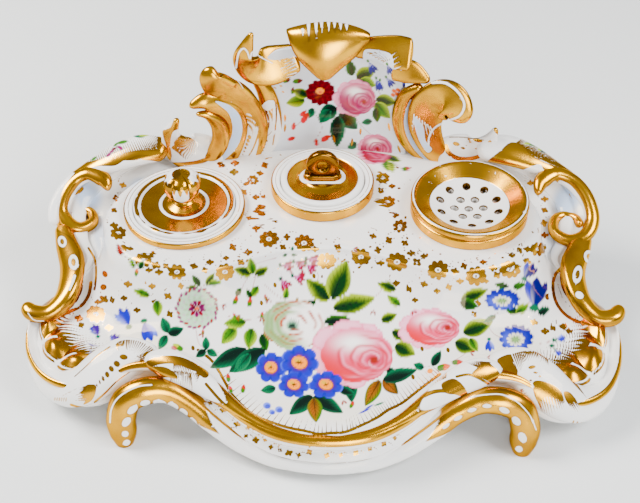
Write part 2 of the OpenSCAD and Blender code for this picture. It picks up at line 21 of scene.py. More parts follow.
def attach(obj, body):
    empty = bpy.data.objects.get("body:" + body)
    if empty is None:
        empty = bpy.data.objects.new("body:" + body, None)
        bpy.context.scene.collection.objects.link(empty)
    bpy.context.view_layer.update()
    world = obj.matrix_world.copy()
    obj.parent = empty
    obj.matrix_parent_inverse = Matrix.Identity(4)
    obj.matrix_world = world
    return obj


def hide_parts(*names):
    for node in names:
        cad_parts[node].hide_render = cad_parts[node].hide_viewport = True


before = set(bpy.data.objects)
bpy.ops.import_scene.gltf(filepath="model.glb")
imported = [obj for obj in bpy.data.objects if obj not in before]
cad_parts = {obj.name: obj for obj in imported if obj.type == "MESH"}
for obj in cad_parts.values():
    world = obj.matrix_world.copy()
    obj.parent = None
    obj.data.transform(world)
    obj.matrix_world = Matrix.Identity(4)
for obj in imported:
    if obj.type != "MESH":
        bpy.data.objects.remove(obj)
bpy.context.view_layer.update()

Array = NDArray[np.float64]
Point = tuple[float, float]
Colour = tuple[float, float, float]
LOG = logging.getLogger("inkstand")
MM = 0.001
TAU = 2 * math.pi
EVERY = slice(None)


# ---------------------------------------------------------------- curves
def bend(a: Array, b: Array, c: Array, d: Array, t: Array) -> Array:
    """Passes a smooth curve through b and c, which heads from a towards d.

    Args:
        a, b, c, d: four stations in a row for each sample.
        t: share of the way from b to c, shaped to broadcast.

    Returns:
        The points on the curve: half of 2b + (c-a)t + (2a-5b+4c-d)t^2 + (3b-a-3c+d)t^3.
    """
    return 0.5 * (2 * b + (c - a) * t + (2 * a - 5 * b + 4 * c - d) * t**2 + (3 * b - a - 3 * c + d) * t**3)


def along(row: Array, share: Array) -> Array:
    """Samples an open row of stations at shares from 0 to 1."""
    last = len(row) - 1
    f = np.minimum(share * last, last - 1e-6)
    i = np.floor(f).astype(int)
    pick = lambda k: row[np.clip(i + k, 0, last)]
    return bend(pick(-1), pick(0), pick(1), pick(2), (f - i)[:, None])


def around(row: Array, step: Array) -> Array:
    """Samples a closed row of stations at steps counted in stations."""
    i = np.floor(step).astype(int)
    pick = lambda k: row[(i + k) % len(row)]
    return bend(pick(-1), pick(0), pick(1), pick(2), (step - i)[:, None])


def mix(a: Any, b: Any, t: Any) -> Any:
    """Goes from a to b by share t."""
    return a + (b - a) * t


def unit(v: Array) -> Array:
    """Gives vectors a length of one."""
    return v / np.maximum(np.linalg.norm(v, axis=-1, keepdims=True), 1e-9)


def soft(lo: float, hi: float, x: Array) -> Array:
    """Rises smoothly from 0 at lo to 1 at hi."""
    t = np.clip((x - lo) / (hi - lo), 0, 1)
    return t * t * (3 - 2 * t)


# ---------------------------------------------------------------- plan of the stand
@dataclass(frozen=True)
class Plan:
    """The stand's sizes in millimetres, and the drawn plan that is stretched to them."""

    width: float = 288.0
    deck: float = 58.0
    wall: float = 4.0
    flute_depth: float = 3.0
    drawn_width: float = 287.5
    lean: float = 0.045
    deck_middle: Point = (0.0, 30.0)
    deck_flat: float = 0.93
    fan: Point = (86.0, -27.0)
    flute_angle: float = 21.0

    @property
    def spread(self) -> Array:
        """Stretch of the plan along X, Y and Z."""
        return np.array([self.width / self.drawn_width, 1.0, 1.0])

    def placed(self, p: Array) -> Array:
        """Moves plan points to their place: the right front corner stands a little forward."""
        out = np.array(p, float)
        out[..., 1] = p[..., 1] - self.lean * p[..., 0] * np.clip(-p[..., 1] / 60, 0, 1)
        out[..., 0] = p[..., 0] * self.spread[0]
        return out


PLAN = Plan()


class Easel:
    """The drawing plane on which the flowers are laid out, as the stand is seen from the writer's seat.

    A point goes to the plane by central projection from the eye, which looks down at a slant. The plane
    is 640 by 503 units, and a unit is about half a millimetre on the stand.
    """

    slant = math.radians(43.0)
    distance = 1150.0
    middle = (322.5, 251.5)
    eye = np.array([0.0, -393.1, 425.4])
    ahead = np.array([0.0, math.cos(slant), -math.sin(slant)])
    up = np.array([0.0, math.sin(slant), math.cos(slant)])

    @classmethod
    def project(cls, points: Array) -> Array:
        """Gives the plane's coordinates of points in millimetres."""
        ray = points - cls.eye
        deep = ray @ cls.ahead
        return np.stack([cls.middle[0] + cls.distance * ray[:, 0] / deep,
            cls.middle[1] - cls.distance * (ray @ cls.up) / deep], 1)

    @classmethod
    def facing(cls, points: Array, normals: Array) -> Array:
        """Says how squarely each point faces the eye, from -1 to 1."""
        return np.sum(unit(cls.eye - points) * normals, axis=1)


# ---------------------------------------------------------------- painting
def srgb(r: int, g: int, b: int) -> Array:
    """Turns a painter's colour from 0-255 steps into linear light."""
    c = np.array([r, g, b]) / 255
    return np.where(c <= 0.04045, c / 12.92, ((c + 0.055) / 1.055) ** 2.4)


class Enamel(Enum):
    """The painter's colours."""

    GLAZE = (244, 242, 239)
    # pale blue, painted as shade on the white glaze in recesses, channels and on the crest panel
    SHADE_BLUE = (200, 216, 238)
    CREAM = (246, 238, 222)
    WHITE = (255, 250, 246)
    ROSE_PALE = (250, 184, 206)
    ROSE = (232, 84, 134)
    ROSE_DEEP = (190, 20, 70)
    CORAL = (216, 40, 62)
    RUST = (156, 48, 28)
    MAROON = (112, 0, 36)
    CRIMSON = (164, 6, 44)
    PURPLE = (146, 14, 104)
    LILAC = (218, 136, 194)
    RED = (200, 32, 4)
    ORANGE = (232, 108, 4)
    YELLOW = (255, 158, 0)
    LIME = (180, 198, 34)
    LEAF = (70, 132, 24)
    LEAF_DARK = (0, 70, 30)
    TEAL = (0, 122, 84)
    TEAL_PALE = (84, 176, 126)
    TEAL_DARK = (0, 44, 38)
    OCHRE = (164, 100, 8)
    BLUE = (32, 34, 190)
    BLUE_PALE = (122, 140, 236)
    COBALT = (4, 10, 124)
    VIOLET = (84, 24, 150)
    SAGE = (150, 184, 120)
    MINT = (190, 216, 190)
    STEM = (164, 44, 40)
    BROWN = (92, 40, 10)
    INK = (14, 12, 28)

    @property
    def light(self) -> Array:
        """The colour in linear light."""
        return srgb(*self.value)


FRESH, SPRING, MOSSY, COOL, SEA, TAWNY = ((Enamel.LEAF_DARK, Enamel.LIME), (Enamel.LEAF, Enamel.LIME),
    (Enamel.LEAF_DARK, Enamel.LEAF), (Enamel.TEAL_DARK, Enamel.TEAL), (Enamel.TEAL, Enamel.TEAL),
    (Enamel.OCHRE, Enamel.LEAF))


class Paint:
    """Enamel and gold laid on the points of one surface.

    Gold is kept as a depth in drawing units, above 0 inside a gilded place and below it outside, so that
    its edge stays sharp between the points. Tone goes from 0, bright gold, to 1, brown gold.
    """

    def __init__(self, points: Array, normals: Array, guide: dict[str, Array]) -> None:
        """Primes a surface with bare glaze.

        Args:
            points: the surface's points in millimetres.
            normals: their outward directions.
            guide: where each point lies on its form, such as its level in a profile.
        """
        self.guide = guide
        self.points = points
        self.normals = normals
        self.plane = Easel.project(points)
        self.seen = np.flatnonzero(Easel.facing(points, normals) > 0.04)
        self.x, self.y = self.plane[self.seen].T
        self.colour = np.tile(Enamel.GLAZE.light, (len(points), 1))
        self.gilt = np.full(len(points), -6.0)
        self.tone = np.zeros(len(points))

    def near(self, x: float, y: float, reach: float) -> tuple[Array, Array, Array]:
        """Finds the seen points round a place, and their offsets from it."""
        pick = (np.abs(self.x - x) < reach) & (np.abs(self.y - y) < reach)
        return self.seen[pick], self.x[pick] - x, self.y[pick] - y

    # -- laying
    def lay(self, at: Array, depth: Array, colour: Array, strength: float = 1.0) -> None:
        """Lays enamel where depth is above 0, with a soft edge, and clears gold below it."""
        cover = np.clip(depth / 0.7 + 0.5, 0, 1) * strength
        self.colour[at] += (colour - self.colour[at]) * cover[:, None]
        self.gilt[at] = np.minimum(self.gilt[at], -depth)

    def gild(self, at: Array, depth: Array, tone: float = 0.0) -> None:
        """Gilds where depth is above 0."""
        self.gilt[at] = np.maximum(self.gilt[at], depth)
        if tone:
            self.tone[at] = np.where(depth > 0, tone, self.tone[at])

    def bare(self, at: Array, depth: Array) -> None:
        """Leaves the white glaze where depth is above 0."""
        self.lay(at, depth, Enamel.GLAZE.light)

    def darken(self, at: Array, depth: Array, tone: float) -> None:
        """Browns the gold where depth is above 0."""
        cover = np.clip(depth / 0.7 + 0.5, 0, 1)
        self.tone[at] = np.maximum(self.tone[at], tone * cover)

    # -- shapes: each gives the points and their depth inside the shape
    def oval(self, x: float, y: float, long: float, wide: float, turn: float = 0.0) -> tuple[Array, Array]:
        """An ellipse of two radii, its long one turned by an angle in degrees, clockwise from the right."""
        at, dx, dy = self.near(x, y, max(long, wide) + 3)
        a, b = turned(dx, dy, turn)
        return at, (1 - np.hypot(a / long, b / wide)) * min(long, wide)

    def tint(self, at: Array, share: Array, colour: Array) -> None:
        """Washes a colour over the enamel that is there, by a share at each point."""
        self.colour[at] += (colour - self.colour[at]) * np.clip(share, 0, 1)[:, None]

    def frill(self, x: float, y: float, long: float, wide: float, petals: float, notch: float,
            phase: float = 0.0) -> tuple[Array, Array, Array, Array]:
        """An oval whose edge is cut into rounded petals.

        Returns:
            The points, their depth, their share of the way to the edge, and their angle in degrees.
        """
        at, dx, dy = self.near(x, y, max(long, wide) * 1.1 + 3)
        angle = np.arctan2(dy / wide, dx / long)
        reach = 1 - notch * (1 - np.abs(np.sin(petals / 2 * angle + math.radians(phase)))) ** 1.6
        rho = np.hypot(dx / long, dy / wide) / reach
        return at, (1 - rho) * min(long, wide), rho, np.degrees(angle)

    def blade(self, x: float, y: float, long: float, wide: float, turn: float,
            belly: float = 0.45) -> tuple[Array, Array, Array, Array]:
        """A petal or leaf that grows from x, y.

        Returns:
            The points, their depth, their share of the length and their share of the half width.
        """
        at, dx, dy = self.near(x, y, long + 3)
        a, b = turned(dx, dy, turn)
        s = np.clip(a / long, 0, 1)
        half = wide / 2 * np.sin(math.pi * s ** (math.log(0.5) / math.log(belly))) ** 0.8
        return at, half - np.hypot(b, a - s * long), s, b / np.maximum(half, 0.3)

    def line(self, points: Sequence[Point], wide: float, end: float | None = None) -> tuple[Array, Array]:
        """A brush line through the points, which runs from one width to another."""
        p = np.array(points, float)
        end = wide if end is None else end
        lo, hi = p.min(0), p.max(0)
        reach = (hi - lo).max() / 2 + wide + 3
        mid = (lo + hi) / 2
        at, dx, dy = self.near(mid[0], mid[1], reach)
        q = np.stack([dx, dy], 1) + mid
        best = np.full(len(at), -9.0)
        runs = len(p) - 1
        for i in range(runs):
            way = p[i + 1] - p[i]
            t = np.clip((q - p[i]) @ way / max(way @ way, 1e-9), 0, 1)
            away = np.linalg.norm(q - p[i] - t[:, None] * way, axis=1)
            best = np.maximum(best, mix(wide, end, (i + t) / runs) / 2 - away)
        return at, best

    def patch(self, points: Sequence[Point]) -> tuple[Array, Array]:
        """A closed patch with straight sides: the depth is the way to the nearest side."""
        p = np.array(points, float)
        lo, hi = p.min(0), p.max(0)
        mid = (lo + hi) / 2
        at, dx, dy = self.near(mid[0], mid[1], (hi - lo).max() / 2 + 4)
        q = np.stack([dx, dy], 1) + mid
        away = np.full(len(at), 9.0)
        inside = np.zeros(len(at), bool)
        for a, b in zip(p, np.roll(p, -1, 0)):
            way = b - a
            t = np.clip((q - a) @ way / max(way @ way, 1e-9), 0, 1)
            away = np.minimum(away, np.linalg.norm(q - a - t[:, None] * way, axis=1))
            cross = (a[1] > q[:, 1]) != (b[1] > q[:, 1])
            rise = b[1] - a[1] if b[1] != a[1] else 1e-9
            inside ^= cross & (q[:, 0] < (b[0] - a[0]) * (q[:, 1] - a[1]) / rise + a[0])
        return at, np.where(inside, away, -away)

    # -- gilder's strokes
    def comb(self, start: Sequence[Point], tips: Sequence[Point], count: int, wide: float,
            lay: Callable[[Array, Array], None] | None = None) -> None:
        """Draws tapered strokes side by side, from places along one line to places along another."""
        lay, wide = lay or self.gild, max(1.1, 1.3 * wide)
        a, b = (along(np.array(row, float), np.linspace(0, 1, count)) for row in (start, tips))
        for p, q in zip(a, b):
            lay(*self.line([tuple(p), tuple(q)], wide, 0.1))

    def daisy(self, x: float, y: float, r: float, petals: int = 8, turn: float = 0.0) -> None:
        """A gold flower of round petals, with a white middle, a brown ring and a gold dot."""
        for k in range(petals):
            a = math.radians(turn) + TAU * k / petals
            far = 1 + 0.07 * math.sin(5 * k + x)
            self.gild(*self.oval(x + 0.68 * far * r * math.cos(a), y + 0.56 * far * r * math.sin(a), 0.3 * r,
                0.25 * r, math.degrees(a)), tone=0.35)
        self.gild(*self.oval(x, y, 0.52 * r, 0.42 * r), tone=0.45)
        self.bare(*self.oval(x, y, 0.27 * r, 0.2 * r))
        self.gild(*self.oval(x, y, 0.11 * r, 0.09 * r), tone=0.6)

    def sprig(self, x: float, y: float, r: float, turn: float) -> None:
        """A gold clover of round lobes, with a tail of dots."""
        for k, size in enumerate((0.5, 0.42, 0.48, 0.36)):
            a = math.radians(turn + 88 * k)
            at, depth = self.oval(x + 0.46 * r * math.cos(a), y + 0.38 * r * math.sin(a), size * r, 0.78 * size * r,
                turn + 88 * k)
            self.gild(at, depth, 0.25 + 0.1 * k)
        for k in (1, 2, 3):
            a = math.radians(turn + 190 + 16 * k)
            self.gild(*self.oval(x + (1.1 + 0.42 * k) * r * math.cos(a), y + (0.9 + 0.36 * k) * r * math.sin(a),
                1.05 - 0.15 * k, 0.85 - 0.12 * k), tone=0.35)


def turned(dx: Array, dy: Array, turn: float) -> tuple[Array, Array]:
    """Offsets along and across a direction, in degrees clockwise from the right."""
    c, s = math.cos(math.radians(turn)), math.sin(math.radians(turn))
    return dx * c + dy * s, dy * c - dx * s


class Flowers:
    """The enamel painter's flowers and leaves, drawn on one surface."""

    def __init__(self, paint: Paint) -> None:
        """Takes the surface to paint on."""
        self.paint = paint

    def petal(self, x: float, y: float, long: float, wide: float, turn: float, root: Enamel, tip: Enamel,
            rim: Enamel | None = None, belly: float = 0.6) -> None:
        """A petal shaded from its root to its tip, with a paler or darker rim."""
        at, depth, s, t = self.paint.blade(x, y, long, wide, turn, belly)
        colour = mix(root.light, tip.light, s[:, None])
        if rim:
            colour = mix(colour, rim.light, (soft(0.45, 1.1, np.abs(t)) * 0.8)[:, None])
        self.paint.lay(at, depth, colour)

    def leaf(self, x: float, y: float, long: float, wide: float, turn: float, dark: Enamel = Enamel.TEAL,
            light: Enamel = Enamel.TEAL, vein: Enamel = Enamel.TEAL_DARK) -> None:
        """A leaf, dark at its root and along one half, paler to its edges and tip, with fine slanting veins."""
        at, depth, s, t = self.paint.blade(x, y, long, wide, turn, 0.42)
        edge = np.abs(t)
        share = 0.1 + 0.8 * soft(0.2, 1.0, edge) + 0.5 * soft(0.4, 1.0, s) - 0.4 * soft(-0.3, 0.5, t)
        if dark is light:
            colour = mix(dark.light, vein.light, (0.75 * soft(0.75, 0.05, s) * soft(1.0, 0.1, edge))[:, None])
            colour = mix(colour, Enamel.TEAL_PALE.light, (0.35 * soft(0.6, 1.1, edge) * soft(0.2, -0.3, t))[:, None])
        else:
            colour = mix(dark.light, light.light, np.clip(share, 0, 1)[:, None])
            colour = mix(colour, vein.light, (0.6 * soft(0.6, 0.0, s) * soft(0.9, 0.1, edge))[:, None])
        veins = np.abs(np.mod((s - 0.3 * edge) * 7, 1) - 0.5)
        colour = mix(colour, vein.light, (0.4 * soft(0.16, 0.03, veins) * soft(1.0, 0.6, edge))[:, None])
        self.paint.lay(at, depth, colour)
        self.paint.lay(at, np.minimum(0.4 * (1 - s) + 0.15 - edge * wide / 2, depth), vein.light, 0.8)

    def stem(self, points: Sequence[Point], colour: Enamel = Enamel.STEM, wide: float = 0.55) -> None:
        """A thin curved stem through the points."""
        row = along(np.array(points, float), np.linspace(0, 1, 4 * len(points)))
        self.paint.lay(*self.paint.line([tuple(p) for p in row], wide, 0.35), colour.light, 0.85)

    def touch(self, x: float, y: float, long: float, wide: float, turn: float, colour: Enamel,
            strength: float = 1.0) -> None:
        """One oval touch of the brush."""
        self.paint.lay(*self.paint.oval(x, y, long, wide, turn), colour.light, strength)

    def rose(self, x: float, y: float, rx: float, ry: float, hx: float, hy: float, warm: Enamel = Enamel.CORAL,
            ruffles: float = 1.0, wash: Enamel | None = None) -> None:
        """A full rose: ruffled outer petals behind a round cup lit from above, and folds round a tight heart.

        Args:
            x, y: middle of the cup.
            rx, ry: radii of the cup.
            hx, hy: the heart.
            warm: colour of the shaded side.
            ruffles: size of the outer petals.
            wash: a thin wash over the whole flower.
        """
        p, e = self.paint, Enamel
        back = math.degrees(math.atan2(y - hy, x - hx))
        for swing, out, size in ((-100, 0.72, 0.5), (92, 0.74, 0.48), (-62, 0.86, 0.52), (58, 0.84, 0.5),
                (-22, 0.92, 0.54), (20, 0.9, 0.5)):
            a = math.radians(back + swing)
            px, py = x + out * ruffles * rx * math.cos(a), y + out * ruffles * ry * math.sin(a)
            at, depth, rho, _ = p.frill(px, py, size * rx, size * ry, 5, 0.14, swing)
            dx, dy = p.plane[at].T - np.array([[px], [py]])
            far = (dx * math.cos(a) / rx + dy * math.sin(a) / ry) / size
            tint = mix(mix(e.ROSE.light, warm.light, 0.25), e.ROSE_PALE.light, soft(-0.7, 0.55, far)[:, None])
            p.lay(at, depth, mix(tint, e.ROSE.light, (0.45 * soft(0.8, 1.0, rho))[:, None]))
        at, depth, _, _ = p.frill(x, y, rx, ry, 9, 0.045)
        u, v = (p.plane[at].T - np.array([[x], [y]])) / np.array([[rx], [ry]])
        low = soft(-0.35, 1.0, -0.62 * u + 0.78 * v)
        tint = mix(mix(e.ROSE.light, e.ROSE_PALE.light, 0.12), warm.light, low[:, None])
        streak = 0.5 + 0.5 * np.sin(3.2 * (u - v) + 5 * np.sin(2.2 * (u + v)))
        tint = mix(tint, e.ROSE_PALE.light, (0.3 * streak * soft(0.1, -0.6, -u))[:, None])
        glow = np.exp(-(((u + 0.1) / 0.55) ** 2 + ((v + 0.45) / 0.36) ** 2))
        p.lay(at, depth, mix(tint, e.WHITE.light, np.clip(1.05 * glow, 0, 1)[:, None]))
        cup = at[depth > 0]
        q = p.plane[cup]
        for k, (share, middle, half) in enumerate(((0.16, 60, 75), (0.3, 330, 80), (0.42, 130, 100), (0.54, 20, 95),
                (0.65, 250, 120), (0.75, 60, 130), (0.84, 200, 150))):
            cx, cy, r = mix(x, hx, share), mix(y, hy, share), 1 - 0.88 * share
            u, v = (q[:, 0] - cx) / (r * rx), (q[:, 1] - cy) / (r * ry)
            wave = 0.05 * np.sin(3 * np.arctan2(v, u) + 2.1 * k) + 0.03 * np.sin(7 * np.arctan2(v, u) + k)
            deep = (1 + wave - np.hypot(u, v)) * r * rx
            swing = np.abs(np.mod(np.degrees(np.arctan2(v, u)) - middle + 180, 360) - 180)
            arc = soft(half, half - 45, swing)
            p.tint(cup, 0.75 * arc * np.exp(-((deep + 0.04 * rx) / (0.06 * rx)) ** 2),
                mix(e.ROSE_DEEP.light, warm.light, 0.4))
            p.tint(cup, 0.5 * arc * np.exp(-((deep - 0.045 * rx) / (0.05 * rx)) ** 2), e.ROSE_PALE.light)
        u, v = (q[:, 0] - hx) / rx, (q[:, 1] - hy) / ry
        away = np.hypot(u, v)
        p.tint(cup, 0.8 * soft(0.36, 0.14, away), mix(e.ROSE_DEEP.light, e.ROSE.light, 0.2))
        turn = np.arctan2(v, u) + 9 * away
        p.tint(cup, 0.6 * soft(0.4, 0.2, away) * soft(0.5, 1.0, np.sin(2 * turn)), e.ROSE_PALE.light)
        p.tint(cup, 0.95 * soft(0.2, 0.06, away), e.RUST.light)
        if wash:
            at, depth = p.oval(x, y, 1.2 * rx, 1.2 * ry)
            glow = p.colour[at].min(axis=1)
            p.tint(at, 0.3 * soft(-1, 1.5, depth) * soft(0.75, 0.35, glow) * (p.colour[at, 0] > 0.4), wash.light)

    def pale_rose(self, x: float, y: float, rx: float, ry: float) -> None:
        """A white rose, green in its shade, with broken red-brown outlines and a dark heart."""
        p, e = self.paint, Enamel
        at, depth, _, _ = p.frill(x, y, rx, ry, 8, 0.07, 20)
        u, v = (p.plane[at].T - np.array([[x], [y]])) / np.array([[rx], [ry]])
        shade = soft(-0.35, 1.05, -0.9 * u + 0.35 * v)
        p.lay(at, depth, mix(e.WHITE.light, e.SAGE.light * 0.9, shade[:, None]))
        cup = at[depth > 0]
        q = p.plane[cup]
        for k, (r, cx, cy) in enumerate(((1.0, 0, 0), (0.84, 0.07, -0.03), (0.66, 0.05, 0.0), (0.42, 0.0, 0.02))):
            u, v = (q[:, 0] - x - cx * rx) / (r * rx), (q[:, 1] - y - cy * ry) / (r * ry)
            angle = np.degrees(np.arctan2(v, u))
            deep = (1 + 0.03 * np.sin(np.radians(7 * angle + 50 * k)) - np.hypot(u, v)) * r * ry
            left = soft(0.85, -0.5, u)
            p.tint(cup, 0.9 * left * np.exp(-((deep + 0.07 * rx) / (0.07 * rx)) ** 2), e.SAGE.light * 0.85)
            p.tint(cup, 0.4 * np.exp(-((deep - 0.09 * rx) / (0.05 * rx)) ** 2), e.WHITE.light)
            broken = soft(-0.6, 0.2, np.sin(np.radians(3 * angle + 70 * k)))
            line = np.exp(-((deep - 0.7) / 1.2) ** 2) * broken * soft(1.3, 0.7, u)
            p.tint(cup, line, mix(e.RUST.light, e.ORANGE.light, 0.3))
        for dx, dy, long, wide, hue, share in ((-0.04, 0.05, 0.22, 0.17, e.MINT, 0.8),
                (-0.04, 0.07, 0.17, 0.13, e.TEAL, 0.6), (-0.05, 0.1, 0.12, 0.08, e.INK, 0.75),
                (0.04, 0.19, 0.15, 0.04, e.RUST, 0.8)):
            self.touch(x + dx * rx, y + dy * ry, long * rx, wide * rx, 0, hue, share)
        for k in range(9):
            a = math.radians(200 + 17 * k)
            tip = (x + 0.24 * rx * math.cos(a), y + 0.26 * ry * math.sin(a))
            p.lay(*p.line([(x - 0.05 * rx, y + 0.08 * ry), tip], 0.5, 0.2), e.TEAL_DARK.light, 0.7)

    def auricula(self, x: float, y: float, rx: float, ry: float, phase: float) -> None:
        """A blue flower with a scalloped pale edge, violet round a yellow eye."""
        p, e = self.paint, Enamel
        at, depth, rho, angle = p.frill(x, y, 1.04 * rx, 1.04 * ry, 7, 0.2, phase)
        tint = mix(e.VIOLET.light, e.BLUE.light, soft(0.4, 0.75, rho)[:, None])
        light = soft(0.84, 1.0, rho) * (0.35 + 0.3 * np.sin(np.radians(2 * angle + phase)))
        tint = mix(tint, e.BLUE_PALE.light, np.clip(light, 0, 1)[:, None])
        fold = soft(0.2, 0.03, 1 - np.abs(np.sin(np.radians(3.5 * angle + 90 + phase)))) * soft(0.5, 0.8, rho)
        p.lay(at, depth, mix(tint, e.COBALT.light, (0.35 * fold)[:, None]))
        self.touch(x, y, 0.44 * rx, 0.42 * ry, 15, e.OCHRE)
        self.touch(x - 0.2, y - 0.3, 0.4 * rx, 0.37 * ry, 15, e.YELLOW)
        self.touch(x - 0.12 * rx, y - 0.14 * ry, 0.16 * rx, 0.12 * ry, 15, e.LIME, 0.5)
        for k in range(6):
            a = math.radians(60 * k + phase)
            p.lay(*p.line([(x, y), (x + 0.2 * rx * math.cos(a), y + 0.17 * ry * math.sin(a))], 0.9, 0.3), e.INK.light,
                0.9)

    def trumpet(self, x: float, y: float, rx: float, ry: float, phase: float) -> None:
        """A blue trumpet flower: jagged petals that pale into a green throat."""
        p, e = self.paint, Enamel
        at, depth, rho, angle = p.frill(x, y, rx, ry, 12, 0.22, phase)
        side = soft(-0.9, 0.7, np.cos(np.radians(angle - phase)))
        tint = mix(mix(e.BLUE_PALE.light, e.BLUE.light, 0.5), mix(e.BLUE.light, e.COBALT.light, 0.4), side[:, None])
        ray = 0.5 + 0.5 * np.sin(np.radians(12 * angle))
        tint = mix(tint, e.BLUE_PALE.light, (0.4 * ray * soft(0.8, 0.4, rho))[:, None])
        tint = mix(tint, e.COBALT.light, (0.6 * (1 - ray) * soft(0.6, 0.95, rho))[:, None])
        p.lay(at, depth, tint)
        at, depth, rho, angle = p.frill(x - 0.04 * rx, y + 0.1 * ry, 0.52 * rx, 0.5 * ry, 11, 0.35, phase)
        p.lay(at, depth, mix(e.SAGE.light, e.CREAM.light, soft(0.2, 0.9, rho)[:, None]))
        for k in range(7):
            a = math.radians(50 * k)
            self.touch(x - 0.04 * rx + 0.2 * rx * math.cos(a), y + 0.12 * ry + 0.2 * ry * math.sin(a), 1.1, 0.45,
                50 * k, e.LEAF, 0.8)

    def aster(self, x: float, y: float, r: float) -> None:
        """A green-white ruffled flower with a purple fringe and a crimson heart."""
        p, e = self.paint, Enamel
        at, depth, rho, angle = p.frill(x, y, r, 0.95 * r, 13, 0.12)
        curl = 0.5 + 0.5 * np.sin(np.radians(13 * angle)) * np.sin(14 * rho)
        p.lay(at, depth, mix(e.MINT.light, e.SAGE.light * 0.92, (0.7 * curl * soft(1.0, 0.3, rho))[:, None]))
        for k in range(26):
            a = TAU * k / 26
            far = 0.93 + 0.05 * math.sin(4 * k)
            self.touch(x + far * r * math.cos(a), y + 0.95 * far * r * math.sin(a), 2.3, 1.4, math.degrees(a) + 60,
                e.PURPLE if k % 3 else e.CRIMSON, 0.95)
            if k % 2:
                self.touch(x + 0.68 * r * math.cos(a), y + 0.64 * r * math.sin(a), 1.3, 0.8, math.degrees(a) + 60,
                    e.LILAC, 0.6)
        for k in range(9):
            self.petal(x, y, 0.42 * r, 0.2 * r, 40 * k + 12, e.INK, e.CRIMSON if k % 2 else e.PURPLE, e.LILAC, 0.7)
        self.touch(x, y, 0.09 * r, 0.08 * r, 0, e.ORANGE)

    def fuchsia(self, x: float, y: float, long: float, turn: float) -> None:
        """Three narrow magenta petals under a green cap, with pale light between them."""
        e = Enamel
        self.petal(x, y, long, 0.62 * long, turn, e.LILAC, e.LILAC, None, 0.7)
        for swing in (-19, 0, 19):
            self.petal(x, y, 1.15 * long, 0.27 * long, turn + 1.2 * swing, e.PURPLE, e.CRIMSON, None, 0.75)
        self.touch(x, y, 0.19 * long, 0.13 * long, turn + 70, e.TEAL_DARK)
        self.touch(x - 0.6, y - 0.4, 0.12 * long, 0.08 * long, turn + 70, e.TEAL)

    def star(self, x: float, y: float, r: float, petals: int, turn: float, root: Enamel, tip: Enamel,
            eye: Enamel | None = Enamel.YELLOW, rim: Enamel | None = None, wide: float = 0.75, squash: float = 0.85,
            eye_r: float = 0.36) -> None:
        """An open flower of equal petals round an eye."""
        for k in range(petals):
            a = math.radians(turn) + TAU * k / petals
            c, s = math.cos(a), math.sin(a) * squash
            self.petal(x, y, r * math.hypot(c, s), wide * r, math.degrees(math.atan2(s, c)), root, tip, rim, 0.68)
        if eye:
            self.touch(x, y, eye_r * r, eye_r * squash * r, 0, eye)
            self.touch(x + 0.03 * r, y + 0.03 * r, 0.1 * r, 0.07 * r, 30, Enamel.BROWN, 0.8)

    def bell(self, x: float, y: float, long: float, turn: float, colour: Enamel, pale: Enamel,
            cap: Enamel = Enamel.TEAL) -> None:
        """A hanging bell of pointed petals, pale on one side, under a green cap."""
        for swing, size, hue, wide in ((-20, 0.94, pale, 0.3), (20, 0.94, colour, 0.3), (0, 1.0, colour, 0.36)):
            at, depth, s, t = self.paint.blade(x, y, long * size, wide * long, turn + swing, 0.6)
            light = mix(hue.light, Enamel.WHITE.light,
                (0.4 * soft(0.2, -0.9, t) * soft(0.9, 0.2, s) * (swing <= 0))[:, None])
            light = mix(light, Enamel.COBALT.light, (0.5 * soft(0.7, 1.0, s) + 0.3 * soft(0.5, 1.0, t))[:, None])
            self.paint.lay(at, depth, light)
        self.touch(x, y, 0.16 * long, 0.12 * long, turn + 90, cap)

    def bud(self, x: float, y: float, long: float, turn: float, colour: Enamel, green: Enamel = Enamel.LEAF) -> None:
        """A closed bud in its green cup."""
        self.petal(x, y, long, 0.5 * long, turn, colour, colour, None, 0.5)
        self.petal(x, y, 0.6 * long, 0.36 * long, turn - 14, green, green, None, 0.4)
        self.petal(x, y, 0.55 * long, 0.3 * long, turn + 16, green, green, None, 0.4)


# ---------------------------------------------------------------- meshes
@dataclass
class Skin:
    """A closed surface of quads on a grid of rows by columns, in millimetres.

    The rows run round (looped) or end in a pole or a flat cap; the columns run round or end in flat caps.
    """

    grid: Array
    loop_rows: bool = False
    loop_columns: bool = True

    def build(self) -> tuple[Array, list[Array]]:
        """Gives the points and the faces, turned outwards."""
        rows, columns, _ = self.grid.shape
        index = np.arange(rows * columns).reshape(rows, columns)
        points = self.grid.reshape(-1, 3)
        r = np.vstack([index, index[:1]]) if self.loop_rows else index
        r = np.hstack([r, r[:, :1]]) if self.loop_columns else r
        quads = np.stack([r[:-1, :-1], r[:-1, 1:], r[1:, 1:], r[1:, :-1]], -1).reshape(-1, 4)
        faces = [quads]
        if not self.loop_rows and self.loop_columns:
            ends = np.array([self.grid[0].mean(0), self.grid[-1].mean(0)])
            first, last = len(points), len(points) + 1
            points = np.vstack([points, ends])
            ring = np.append(index[0], index[0, 0]), np.append(index[-1], index[-1, 0])
            faces.append(np.stack([np.full(columns, first), ring[0][1:], ring[0][:-1]], -1))
            faces.append(np.stack([np.full(columns, last), ring[1][:-1], ring[1][1:]], -1))
        if self.loop_rows and not self.loop_columns:
            faces += [index[:, 0][None, :], index[::-1, -1][None, :]]
        return points, self.outward(points, faces)

    @staticmethod
    def outward(points: Array, faces: list[Array]) -> list[Array]:
        """Turns all faces over if the volume that they enclose comes out negative."""
        volume = 0.0
        for f in faces:
            if f.shape[1] > 4:
                continue
            for k in range(1, f.shape[1] - 1):
                a, b, c = points[f[:, 0]], points[f[:, k]], points[f[:, k + 1]]
                volume += float(np.einsum("ij,ij->", a, np.cross(b, c)))
        return faces if volume > 0 else [f[:, ::-1] for f in faces]


